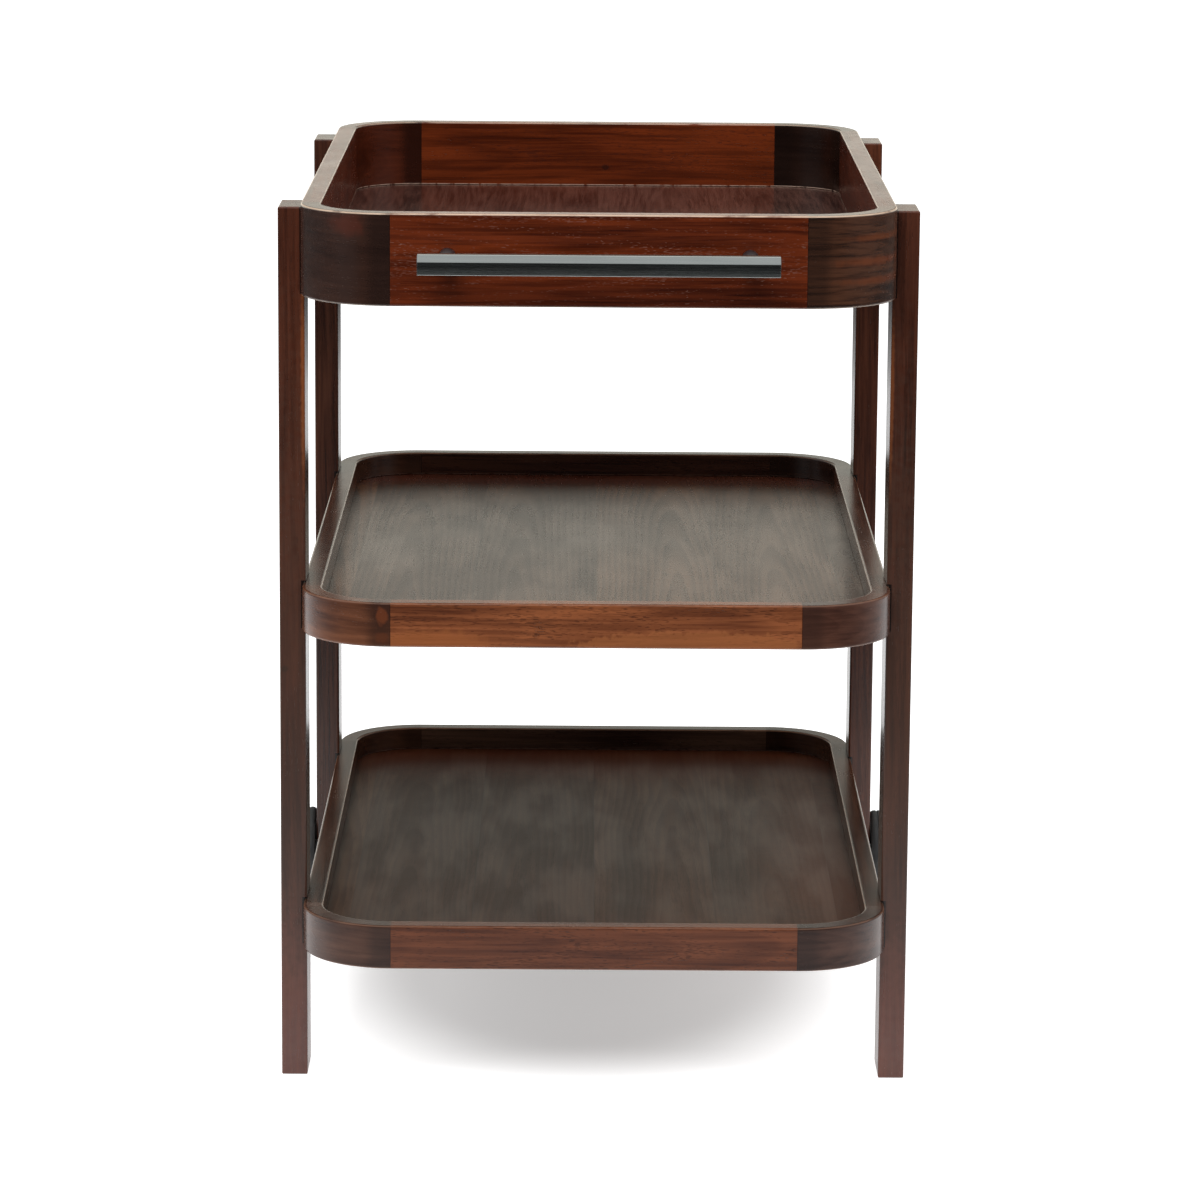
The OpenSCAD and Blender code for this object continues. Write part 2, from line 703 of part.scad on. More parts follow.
front_leg_left();
front_leg_right();
rear_leg_left();
rear_leg_right();
top_front_rail();
top_back_rail();
top_left_rail();
top_right_rail();
top_corner_front_left();
top_corner_front_right();
top_corner_back_left();
top_corner_back_right();
top_floor();
middle_front_rail();
middle_back_rail();
middle_left_rail();
middle_right_rail();
middle_corner_front_left();
middle_corner_front_right();
middle_corner_back_left();
middle_corner_back_right();
middle_floor();
bottom_front_rail();
bottom_back_rail();
bottom_left_rail();
bottom_right_rail();
bottom_corner_front_left();
bottom_corner_front_right();
bottom_corner_back_left();
bottom_corner_back_right();
bottom_floor();
rim_dowels();
threaded_inserts();
tray_bolts();
pull_bar();
pull_bar_post_left();
pull_bar_post_right();
post_screws();
left_wheel_disc();
left_tyre();
left_bush();
left_hub_cap();
left_axle_bolt();
left_axle_washers();
left_axle_nut();
right_wheel_disc();
right_tyre();
right_bush();
right_hub_cap();
right_axle_bolt();
right_axle_washers();
right_axle_nut();
front_glide_left();
front_glide_right();
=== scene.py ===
import math

import bpy
import numpy as np
from mathutils import Matrix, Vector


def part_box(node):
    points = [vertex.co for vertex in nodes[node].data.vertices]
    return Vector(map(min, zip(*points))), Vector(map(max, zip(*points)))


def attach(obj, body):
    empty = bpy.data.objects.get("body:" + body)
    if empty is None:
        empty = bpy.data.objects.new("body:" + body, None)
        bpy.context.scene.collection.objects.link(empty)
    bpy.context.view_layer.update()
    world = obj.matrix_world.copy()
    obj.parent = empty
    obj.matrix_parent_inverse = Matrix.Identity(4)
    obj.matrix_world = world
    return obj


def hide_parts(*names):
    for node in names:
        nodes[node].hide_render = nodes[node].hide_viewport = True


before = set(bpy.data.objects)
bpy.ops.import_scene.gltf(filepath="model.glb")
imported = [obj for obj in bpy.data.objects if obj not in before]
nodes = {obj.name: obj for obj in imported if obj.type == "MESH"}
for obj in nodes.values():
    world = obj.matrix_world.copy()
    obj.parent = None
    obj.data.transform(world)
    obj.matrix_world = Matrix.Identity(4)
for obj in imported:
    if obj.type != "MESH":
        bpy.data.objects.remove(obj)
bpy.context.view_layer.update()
print("frame loaded with", len(nodes), "pieces")


def colour(red, green, blue):
    # a colour as seen on a screen, 0 to 255, turned into the linear values that shaders use
    linear = []
    for part in (red, green, blue):
        share = part / 255
        linear.append(share / 12.92 if share <= 0.04045 else ((share + 0.055) / 1.055) ** 2.4)
    return (*linear, 1)


def fill(tree, socket, value):
    # links a socket to another socket, or gives it a plain value
    if isinstance(value, bpy.types.NodeSocket):
        tree.links.new(value, socket)
    else:
        socket.default_value = value


def put(tree, kind, **inputs):
    # adds a node; an input is named by its title, or by i and its number
    node = tree.nodes.new(kind)
    for name, value in inputs.items():
        key = int(name[1:]) if name[0] == "i" and name[1:].isdigit() else name.replace("_", " ")
        fill(tree, node.inputs[key], value)
    return node


def calc(tree, operation, first, second=0.0, clamp=False):
    node = put(tree, "ShaderNodeMath", i0=first, i1=second)
    node.operation = operation
    node.use_clamp = clamp
    return node.outputs[0]


def total(tree, *values):
    # the sum of any number of values
    result = values[0]
    for value in values[1:]:
        result = calc(tree, "ADD", result, value)
    return result


def product(tree, *values):
    result = values[0]
    for value in values[1:]:
        result = calc(tree, "MULTIPLY", result, value)
    return result


def vectorCalc(tree, operation, first, second):
    node = put(tree, "ShaderNodeVectorMath", i0=first, i1=second)
    node.operation = operation
    return node.outputs[0]


def measure(tree, vector):
    node = put(tree, "ShaderNodeVectorMath", i0=vector)
    node.operation = "LENGTH"
    return node.outputs[1]


def noise(tree, vector, scale, detail=2.0, roughness=0.5):
    return put(tree, "ShaderNodeTexNoise", Vector=vector, Scale=scale, Detail=detail, Roughness=roughness).outputs[0]


def drawnNoise(tree, vector, stretch, detail=2.0, roughness=0.5):
    # noise with its own scale along each axis
    return noise(tree, vectorCalc(tree, "MULTIPLY", vector, stretch), 1.0, detail, roughness)


def ramp(tree, value, low, high, start=0.0, end=1.0):
    # moves value smoothly from the range low..high to start..end and holds it there beyond
    node = tree.nodes.new("ShaderNodeMapRange")
    node.interpolation_type = "SMOOTHSTEP"
    for name, entry in (("Value", value), ("From Min", low), ("From Max", high), ("To Min", start), ("To Max", end)):
        fill(tree, node.inputs[name], entry)
    return node.outputs[0]


def blendColour(tree, amount, first, second):
    node = tree.nodes.new("ShaderNodeMix")
    node.data_type = "RGBA"
    for number, value in ((0, amount), (6, first), (7, second)):
        fill(tree, node.inputs[number], value)
    return node.outputs[2]


def splitXyz(tree, vector):
    return tuple(put(tree, "ShaderNodeSeparateXYZ", Vector=vector).outputs)


def joinXyz(tree, x, y, z):
    return put(tree, "ShaderNodeCombineXYZ", X=x, Y=y, Z=z).outputs[0]


def newGroup(name, inputs, outputs):
    # a shader node group with named sockets; returns the tree, its input sockets and its output node
    tree = bpy.data.node_groups.new(name, "ShaderNodeTree")
    for title, kind, value in inputs:
        socket = tree.interface.new_socket(title, in_out="INPUT", socket_type="NodeSocket" + kind)
        if value is not None:
            socket.default_value = value
    for title in outputs:
        tree.interface.new_socket(title, in_out="OUTPUT", socket_type="NodeSocketFloat")
    given = {socket.name: socket for socket in tree.nodes.new("NodeGroupInput").outputs if socket.name}
    return tree, given, tree.nodes.new("NodeGroupOutput")


def useGroup(tree, group, **inputs):
    node = tree.nodes.new("ShaderNodeGroup")
    node.node_tree = group
    for name, value in inputs.items():
        fill(tree, node.inputs[name.replace("_", " ")], value)
    return tuple(node.outputs)


# the trays' common shape, read from the frame in metres
frontRail, leftRail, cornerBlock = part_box("top_front_rail"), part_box("top_left_rail"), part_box("top_corner_back_right")
trayShape = {
    "seamX": frontRail[1].x,
    "seamY": (leftRail[1].y - leftRail[0].y) / 2,
    "middleY": (leftRail[0].y + leftRail[1].y) / 2,
    "halfWidth": -leftRail[0].x,
    "wall": frontRail[1].y - frontRail[0].y,
    "cornerRadius": cornerBlock[1].x - cornerBlock[0].x,
}
trayLevels = {tray: {"rimTop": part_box(tray + "_front_rail")[1].z, "rimBottom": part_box(tray + "_front_rail")[0].z,
                     "floorTop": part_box(tray + "_floor")[1].z} for tray in ("top", "middle", "bottom")}


# scales of the figure's noises, per metre: along the grain, across it and into the board
figureScales = {"sway": (2.6, 9.0, 9.0), "streaks": (7.0, 230.0, 230.0), "fibres": (60.0, 1500.0, 1500.0),
                "patches": (6.0, 26.0, 26.0), "poreBands": (2.5, 42.0, 42.0)}


def makeWoodFigure():
    # Growth rings seen on a sawn board: the distance from a leaning pith, cut into ring widths, with pores
    # crowded where each ring starts and gathered in long bands, streaks and fibres drawn out along the grain,
    # and slow patches of tone. Height is the fibres less the pores.
    # Vector is measured from the piece's middle; Shift moves the noises to another place of the log.
    tree, given, leave = newGroup(
        "woodFigure",
        [("Vector", "Vector", None), ("Shift", "Vector", (0.0, 0.0, 0.0)), ("Ring Width", "Float", 0.006),
         ("Pith Across", "Float", 0.0), ("Pith Depth", "Float", 0.05), ("Pith Lean", "Float", 0.08),
         ("Bend", "Float", 0.02), ("Pore Length", "Float", 0.006), ("Pore Width", "Float", 0.0006),
         ("Pore Share", "Float", 0.36)],
        ["Rings", "Streaks", "Pores", "Patches", "Height"])
    log = vectorCalc(tree, "ADD", given["Vector"], given["Shift"])
    sway = put(tree, "ShaderNodeTexNoise", Vector=vectorCalc(tree, "MULTIPLY", log, figureScales["sway"]),
               Scale=1.0, Detail=2.0).outputs["Color"]
    sway = put(tree, "ShaderNodeVectorMath", i0=vectorCalc(tree, "SUBTRACT", sway, (0.5, 0.5, 0.5)),
               i3=given["Bend"])
    sway.operation = "SCALE"
    along, across, depth = splitXyz(tree, vectorCalc(tree, "ADD", given["Vector"], sway.outputs[0]))
    away = total(tree, depth, product(tree, along, given["Pith Lean"]), given["Pith Depth"])
    radius = measure(tree, joinXyz(tree, calc(tree, "SUBTRACT", across, given["Pith Across"]), away, 0.0))
    phase = calc(tree, "FRACT", calc(tree, "DIVIDE", radius, given["Ring Width"]))
    rings = product(tree, ramp(tree, phase, 0.0, 0.82), ramp(tree, phase, 0.86, 1.0, 1.0, 0.0))
    place = vectorCalc(tree, "ADD", log, sway.outputs[0])
    streaks = drawnNoise(tree, place, figureScales["streaks"], 4.0, 0.6)
    fibres = drawnNoise(tree, place, figureScales["fibres"], 1.0)
    patches = drawnNoise(tree, log, figureScales["patches"])
    poreBands = drawnNoise(tree, place, figureScales["poreBands"], 1.0)
    longScale = calc(tree, "DIVIDE", 1.0, given["Pore Length"])
    wideScale = calc(tree, "DIVIDE", 1.0, given["Pore Width"])
    poreNoise = drawnNoise(tree, place, joinXyz(tree, longScale, wideScale, wideScale), 0.0)
    crowd = ramp(tree, phase, 0.0, 0.4, 0.09, -0.05)
    level = total(tree, poreNoise, crowd, ramp(tree, poreBands, 0.38, 0.62, -0.1, 0.05))
    limit = calc(tree, "SUBTRACT", 1.0, given["Pore Share"])
    pores = ramp(tree, level, limit, calc(tree, "ADD", limit, 0.07))
    fineStreaks = total(tree, product(tree, streaks, 0.9), product(tree, fibres, 0.1))
    height = calc(tree, "SUBTRACT", product(tree, fibres, 0.1), pores)
    for number, value in enumerate((rings, fineStreaks, pores, patches, height)):
        tree.links.new(value, leave.inputs[number])
    return tree


def makeStaves():
    # Staves glued side by side: the number of the stave that Across falls in gives each stave its own random
    # tone and figure; Local is measured from that stave's middle, and Joint marks the glue lines
    tree, given, leave = newGroup(
        "staves", [("Across", "Float", 0.0), ("Stave Width", "Float", 0.118), ("Offset", "Float", 0.0)],
        ["Local", "Random", "Other", "Joint"])
    share = calc(tree, "DIVIDE", calc(tree, "ADD", given["Across"], given["Offset"]), given["Stave Width"])
    number = calc(tree, "FLOOR", share)
    inside = calc(tree, "SUBTRACT", calc(tree, "SUBTRACT", share, number), 0.5)
    dice = put(tree, "ShaderNodeTexWhiteNoise", Vector=joinXyz(tree, number, given["Offset"], 0.0))
    colours = put(tree, "ShaderNodeSeparateColor", Color=dice.outputs["Color"])
    edge = product(tree, calc(tree, "SUBTRACT", 0.5, calc(tree, "ABSOLUTE", inside)), given["Stave Width"])
    for place, value in enumerate((product(tree, inside, given["Stave Width"]), colours.outputs[0],
                                   colours.outputs[1], ramp(tree, edge, 0.0003, 0.0012, 1.0, 0.0))):
        tree.links.new(value, leave.inputs[place])
    return tree


def makeLineMask():
    # 1 within Half Width of the line where Value equals Place, falling to 0 over Soft
    tree, given, leave = newGroup(
        "lineMask", [("Value", "Float", 0.0), ("Place", "Float", 0.0), ("Half Width", "Float", 0.0003),
                     ("Soft", "Float", 0.0003)], ["Mask"])
    gap = calc(tree, "ABSOLUTE", calc(tree, "SUBTRACT", given["Value"], given["Place"]))
    outer = calc(tree, "ADD", given["Half Width"], given["Soft"])
    tree.links.new(ramp(tree, gap, given["Half Width"], outer, 1.0, 0.0), leave.inputs[0])
    return tree


def makeTrayPlace():
    # Across: 0 on a rim's inner wall and 1 on its outer wall, all the way round the tray's rounded outline.
    # Seam: 1 on the butt seams between straight boards and corner blocks. Block: 0 at a seam, 1 well into a block.
    tree, given, leave = newGroup("trayPlace", [("Vector", "Vector", None)], ["Across", "Seam", "Block"])
    x, y = splitXyz(tree, given["Vector"])[:2]
    wide = calc(tree, "SUBTRACT", calc(tree, "ABSOLUTE", x), trayShape["seamX"])
    long = calc(tree, "SUBTRACT", calc(tree, "ABSOLUTE", calc(tree, "SUBTRACT", y, trayShape["middleY"])),
                trayShape["seamY"])
    distance = measure(tree, joinXyz(tree, calc(tree, "MAXIMUM", wide, 0.0), calc(tree, "MAXIMUM", long, 0.0), 0.0))
    across = calc(tree, "DIVIDE", calc(tree, "SUBTRACT", distance, trayShape["cornerRadius"] - trayShape["wall"]),
                  trayShape["wall"])
    nearWide = product(tree, ramp(tree, calc(tree, "ABSOLUTE", wide), 0.00015, 0.0006, 1.0, 0.0),
                       ramp(tree, long, 0.0, 0.01))
    nearLong = product(tree, ramp(tree, calc(tree, "ABSOLUTE", long), 0.00015, 0.0006, 1.0, 0.0),
                       ramp(tree, wide, 0.0, 0.01))
    tree.links.new(across, leave.inputs[0])
    tree.links.new(calc(tree, "MAXIMUM", nearWide, nearLong), leave.inputs[1])
    tree.links.new(ramp(tree, wide, 0.01, 0.03), leave.inputs[2])
    return tree


def makeSpotMask():
    # 1 inside an oval of the given centre and half sizes, with an uneven soft rim
    tree, given, leave = newGroup(
        "spotMask", [("Vector", "Vector", None), ("Centre", "Vector", (0.0, 0.0, 0.0)),
                     ("Half Size", "Vector", (0.01, 0.01, 0.01)), ("Soft", "Float", 0.4)], ["Mask"])
    offset = vectorCalc(tree, "DIVIDE", vectorCalc(tree, "SUBTRACT", given["Vector"], given["Centre"]),
                        given["Half Size"])
    uneven = ramp(tree, noise(tree, given["Vector"], 140.0, 3.0), 0.2, 0.8, -0.25, 0.25)
    reach = total(tree, measure(tree, offset), uneven)
    inner = calc(tree, "SUBTRACT", 1.0, given["Soft"])
    outer = calc(tree, "ADD", 1.0, given["Soft"])
    tree.links.new(ramp(tree, reach, inner, outer, 1.0, 0.0), leave.inputs[0])
    return tree


def makeHandling():
    # The uneven sheen of a wiped lacquer, as roughness to add
    tree, given, leave = newGroup("handling", [("Vector", "Vector", None), ("Scale", "Float", 9.0)], ["Rough"])
    cloud = noise(tree, given["Vector"], given["Scale"], 3.0, 0.6)
    small = noise(tree, given["Vector"], product(tree, given["Scale"], 14.0), 2.0, 0.6)
    rough = total(tree, ramp(tree, cloud, 0.3, 0.7, -0.5, 0.5), ramp(tree, small, 0.3, 0.7, -0.3, 0.3))
    tree.links.new(rough, leave.inputs[0])
    return tree


def makeFineGrain():
    # The fine pebbled skin of moulded plastic and rubber, with a little dust in its hollows
    tree, given, leave = newGroup("fineGrain", [("Vector", "Vector", None), ("Scale", "Float", 900.0)],
                                  ["Height", "Dust"])
    pebbles = noise(tree, given["Vector"], given["Scale"], 2.0, 0.6)
    cloud = noise(tree, given["Vector"], product(tree, given["Scale"], 0.03), 3.0, 0.6)
    tree.links.new(pebbles, leave.inputs[0])
    tree.links.new(product(tree, ramp(tree, cloud, 0.45, 0.75), ramp(tree, pebbles, 0.3, 0.7, 1.0, 0.0)),
                   leave.inputs[1])
    return tree


def makeBrushing():
    # Fine scratches drawn out along X, as left by a belt, with slow changes of tone
    tree, given, leave = newGroup("brushing", [("Vector", "Vector", None), ("Line Width", "Float", 0.0003)],
                                  ["Lines", "Tone"])
    fine = calc(tree, "DIVIDE", 1.0, given["Line Width"])
    tree.links.new(drawnNoise(tree, given["Vector"], joinXyz(tree, 14.0, fine, fine), 2.0, 0.6), leave.inputs[0])
    tree.links.new(drawnNoise(tree, given["Vector"], (9.0, 60.0, 60.0)), leave.inputs[1])
    return tree


woodFigure = makeWoodFigure()
staves = makeStaves()
lineMask = makeLineMask()
trayPlace = makeTrayPlace()
spotMask = makeSpotMask()
handling = makeHandling()
fineGrain = makeFineGrain()
brushing = makeBrushing()
print("shared effects made")


def startMaterial(name):
    material = bpy.data.materials.new(name)
    material.use_nodes = True
    tree = material.node_tree
    return material, tree, tree.nodes["Principled BSDF"], tree.nodes.new("ShaderNodeTexCoord").outputs["Object"]


def dress(node, material):
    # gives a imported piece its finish
    nodes[node].data.materials.clear()
    nodes[node].data.materials.append(material)


def shade(tone, factors):
    # a colour made darker or lighter channel by channel
    linear = colour(*tone)
    return (*(part * factor for part, factor in zip(linear, factors)), 1)


def turnToGrain(tree, place, along, middle):
    # a piece's own axes measured from its middle and turned so that X follows the grain and Z looks out of
    # the broad face; a corner block's figure follows its curve, which runs one way in two corners and the
    # other way in the other two
    x, y, z = splitXyz(tree, vectorCalc(tree, "SUBTRACT", place, middle))
    turned = -1.0 if middle[0] * (middle[1] - trayShape["middleY"]) > 0 else 1.0
    if along == "block":
        return calc(tree, "ADD", x, product(tree, y, turned)), z, product(tree, y, 0.12)
    return {"x": (x, z, y), "y": (y, x, z), "z": (z, y, x), "yUpright": (y, z, x)}[along]


# what all the rims share; a reach is in metres, or in wall thicknesses where it runs across the rim's top
rimMarks = {"seamShade": (0.35, 0.4, 0.45), "seamColour": colour(14, 8, 7), "seamShare": 0.6,
            "outerReach": 0.05, "outerSoft": 0.04, "innerReach": 0.03, "innerSoft": 0.05, "topReach": 0.001,
            "bottomReach": 0.0006, "soft": 0.0008, "bottomShare": 0.5, "innerShare": 0.4, "wearAndHighlightScale": 35.0,
            "fillerAndHighlightColour": colour(196, 168, 150), "jointLineLift": 0.0004, "jointLineReach": 0.0006,
            "jointLineScale": 110.0}
# painted shade round the legs' housings: the dark line where each rim meets a leg
housingShadeMarks = {"colour": colour(12, 6, 5), "share": 0.92, "from": 0.0017, "by": 0.0024}


def rimTouches(tree, place, base, look, level):
    # on a rim: the glue line at the seams, a darker block beside its seam, pale long edges that are partly stain
    # rubbed thin and partly painted highlight, a painted sheen across the top face, and a pale broken line where
    # the floor meets the inner wall, partly filler and partly painted highlight
    z = splitXyz(tree, place)[2]
    across, seam, block = useGroup(tree, trayPlace, Vector=place)
    shadeAtSeam = ramp(tree, block, 0.0, 1.0, look["seamShade"], 0.0)
    base = blendColour(tree, shadeAtSeam, base, shade(look["tone"], rimMarks["seamShade"]))
    base = blendColour(tree, product(tree, seam, rimMarks["seamShare"]), base, rimMarks["seamColour"])
    uneven = ramp(tree, noise(tree, place, rimMarks["wearAndHighlightScale"], 3.0), 0.25, 0.5)
    outer = useGroup(tree, lineMask, Value=across, Place=1.0, Half_Width=rimMarks["outerReach"],
                     Soft=rimMarks["outerSoft"])[0]
    inner = useGroup(tree, lineMask, Value=across, Place=0.0, Half_Width=rimMarks["innerReach"],
                     Soft=rimMarks["innerSoft"])[0]
    high = useGroup(tree, lineMask, Value=z, Place=level["rimTop"], Half_Width=rimMarks["topReach"],
                    Soft=rimMarks["soft"])[0]
    low = useGroup(tree, lineMask, Value=z, Place=level["rimBottom"], Half_Width=rimMarks["bottomReach"],
                   Soft=rimMarks["soft"])[0]
    arris = product(tree, outer, high, look["arrisShare"])
    for paleEdgeMark in (product(tree, outer, low, rimMarks["bottomShare"]),
                 product(tree, inner, high, rimMarks["innerShare"]),
                 product(tree, high, look["topFaceSheenShare"])):
        arris = calc(tree, "MAXIMUM", arris, paleEdgeMark)
    # painted highlight and wear: the rims' long edges, and the top faces as painted sheen, blended towards a pale
    # colour
    base = blendColour(tree, product(tree, arris, uneven), base, look["wearAndHighlightColour"])
    # the pale line where the floor meets the inner wall: filler, with a painted highlight on the joint
    joint = useGroup(tree, lineMask, Value=z, Place=level["floorTop"] + rimMarks["jointLineLift"],
                     Half_Width=rimMarks["jointLineReach"], Soft=rimMarks["jointLineReach"])[0]
    broken = ramp(tree, noise(tree, place, rimMarks["jointLineScale"], 3.0), 0.34, 0.5)
    fillerAndHighlight = product(tree, joint, ramp(tree, across, 0.04, 0.06, 1.0, 0.0), broken, look["fillerAndHighlightShare"])
    return blendColour(tree, fillerAndHighlight, base, rimMarks["fillerAndHighlightColour"])


def housingShadow(tree, place, base):
    # on a leg: painted shade, the dark line round each housing beside the rim, where the joint's gap lies in shadow
    x, z = splitXyz(tree, place)[::2]
    side = calc(tree, "SUBTRACT", calc(tree, "ABSOLUTE", x), trayShape["halfWidth"])
    for level in trayLevels.values():
        middle, half = (level["rimTop"] + level["rimBottom"]) / 2, (level["rimTop"] - level["rimBottom"]) / 2
        beyond = calc(tree, "SUBTRACT", calc(tree, "ABSOLUTE", calc(tree, "SUBTRACT", z, middle)), half)
        near = ramp(tree, calc(tree, "MAXIMUM", side, beyond), housingShadeMarks["from"], housingShadeMarks["by"],
                    housingShadeMarks["share"], 0.0)
        base = blendColour(tree, near, base, housingShadeMarks["colour"])
    return base


def woodMaterial(name, look, level=None):
    # level holds the tray's heights where the piece is one of its rims
    material, tree, shader, place = startMaterial(name)
    along, across, depth = turnToGrain(tree, place, look["along"], look["middle"])
    shift, pithAcross, staveTone, ringShare = look["shift"], look["pithAcross"], 0.0, look["ringShare"]
    if look["staveWidth"]:
        across, dice, otherDice, joint = useGroup(tree, staves, Across=across, Stave_Width=look["staveWidth"],
                                                  Offset=look["staveOffset"])
        shift = vectorCalc(tree, "ADD", joinXyz(tree, product(tree, dice, 9.0), 0.0, product(tree, dice, 5.0)), shift)
        pithAcross = ramp(tree, otherDice, 0.0, 1.0, -0.4 * look["staveWidth"], 0.4 * look["staveWidth"])
        staveTone = product(tree, calc(tree, "SUBTRACT", dice, 0.5), look["staveShare"])
        ringShare = ramp(tree, otherDice, 0.2, 0.8, 0.5 * ringShare, 1.5 * ringShare)
    rings, streaks, pores, patches, height = useGroup(
        tree, woodFigure, Vector=joinXyz(tree, along, across, depth), Shift=shift, Ring_Width=look["ringWidth"],
        Pith_Across=pithAcross, Pith_Depth=look["pithDepth"], Pith_Lean=look["pithLean"], Bend=look["bend"],
        Pore_Length=look["poreLength"], Pore_Width=look["poreWidth"], Pore_Share=look["poreShare"])
    tone = total(tree, product(tree, ramp(tree, streaks, 0.37, 0.63), look["streakShare"]),
                 product(tree, ramp(tree, patches, 0.34, 0.66), look["patchShare"]), staveTone)
    tone = calc(tree, "ADD", tone, product(tree, calc(tree, "SUBTRACT", 1.0, rings), ringShare), True)
    base = blendColour(tree, tone, shade(look["tone"], look["darkShade"]), shade(look["tone"], look["lightShade"]))
    base = blendColour(tree, product(tree, pores, look["poreStrength"]), base, look["poreColour"])
    if look["staveWidth"]:
        base = blendColour(tree, product(tree, joint, look["jointShare"]), base, look["jointColour"])
    for spot in look["spots"]:
        mask = useGroup(tree, spotMask, Vector=place, Centre=spot["centre"], Half_Size=spot["halfSize"],
                        Soft=spot["soft"])[0]
        base = blendColour(tree, product(tree, mask, spot["share"]), base, colour(*spot["tone"]))
    if level:
        base = rimTouches(tree, place, base, look, level)
    if look["housings"]:
        base = housingShadow(tree, place, base)
    tree.links.new(base, shader.inputs["Base Color"])
    wiped = useGroup(tree, handling, Vector=place, Scale=look["wipeScale"])[0]
    rough = total(tree, look["rough"], product(tree, wiped, look["wipe"]), product(tree, pores, look["poreRough"]),
                  product(tree, rings, look["ringRough"]))
    tree.links.new(rough, shader.inputs["Roughness"])
    shader.inputs["IOR"].default_value = look["ior"]
    shader.inputs["Specular IOR Level"].default_value = look["gloss"]
    if look["coatThick"]:
        # the lacquer lies thicker in some patches and hardly fills the pores
        coat = total(tree, ramp(tree, patches, 0.36, 0.64, look["coatThin"], look["coatThick"]),
                     product(tree, pores, -look["poreCoat"]))
        tree.links.new(calc(tree, "MAXIMUM", coat, 0.0), shader.inputs["Coat Weight"])
        shader.inputs["Coat Roughness"].default_value = look["rough"]
        shader.inputs["Coat IOR"].default_value = look["coatIor"]
    bump = put(tree, "ShaderNodeBump", Strength=look["bumpStrength"], Distance=look["bumpDistance"], Height=height)
    tree.links.new(bump.outputs[0], shader.inputs["Normal"])
    return material


# what every wooden piece starts from: figure, pores, lacquer
baseWood = {
    "along": "x", "ringWidth": 0.006, "pithAcross": 0.0, "pithDepth": 0.06, "pithLean": 0.05, "bend": 0.012,
    "poreLength": 0.0065, "poreWidth": 0.0008, "poreShare": 0.37, "poreStrength": 0.5,
    "poreColour": colour(24, 10, 7), "streakShare": 0.5, "patchShare": 0.42, "ringShare": 0.16,
    "darkShade": (0.42, 0.36, 0.36), "lightShade": (1.7, 1.8, 1.7), "wearAndHighlightColour": colour(160, 118, 92),
    "arrisShare": 0.2, "topFaceSheenShare": 0.0, "seamShade": 0.0, "fillerAndHighlightShare": 0.08, "rough": 0.24, "wipe": 0.04,
    "wipeScale": 9.0, "poreRough": 0.02, "ringRough": 0.0, "ior": 1.48, "gloss": 0.5, "coatThick": 0.0,
    "bumpStrength": 0.0012, "bumpDistance": 0.0003, "spots": [], "housings": False, "staveWidth": 0.0,
}

# what the kinds of piece change in it
kindLooks = {
    "end board": {},
    "side board": {"along": "yUpright", "poreStrength": 0.25, "bumpStrength": 0.0004},
    "block": {"along": "block", "ringWidth": 0.004, "pithDepth": 0.03, "seamShade": 0.5, "poreStrength": 0.12,
              "streakShare": 0.32, "patchShare": 0.6},
    "floor": {"along": "y", "pithDepth": 0.016, "pithLean": 0.03, "bend": 0.022, "poreStrength": 0.6,
              "poreLength": 0.022, "poreWidth": 0.0009, "poreColour": colour(14, 9, 7), "patchShare": 0.4,
              "ringShare": 0.3, "staveWidth": 0.118, "staveOffset": 0.236, "staveShare": 0.35, "jointShare": 0.35,
              "jointColour": colour(20, 12, 9), "rough": 0.19, "bumpStrength": 0.002, "wipe": 0.012,
              "ringRough": 0.02, "coatThin": 0.135, "coatThick": 0.265, "poreCoat": 0.19, "coatIor": 1.8},
    "leg": {"along": "z", "ringWidth": 0.005, "housings": True, "poreLength": 0.009, "poreStrength": 0.35,
            "streakShare": 0.5},
}


def mark(centre, halfSize, soft, share, tone):
    # an oval of another tone on a piece, with sizes in metres; soft is its rim's share and share its strength
    return {"centre": centre, "halfSize": halfSize, "soft": soft, "share": share, "tone": tone}


def legSheenMarks(side):
    # both front legs carry a painted reflection of the pale floor: greyer low down and redder at the foot; side is -1
    # on the left and 1 on the right
    return [mark((side * 0.2885, -0.2785, 0.31), (0.1, 0.1, 0.32), 0.6, 0.35, (76, 64, 56)),
            mark((side * 0.2885, -0.2785, 0.0), (0.1, 0.1, 0.14), 0.5, 0.18, (124, 58, 46))]
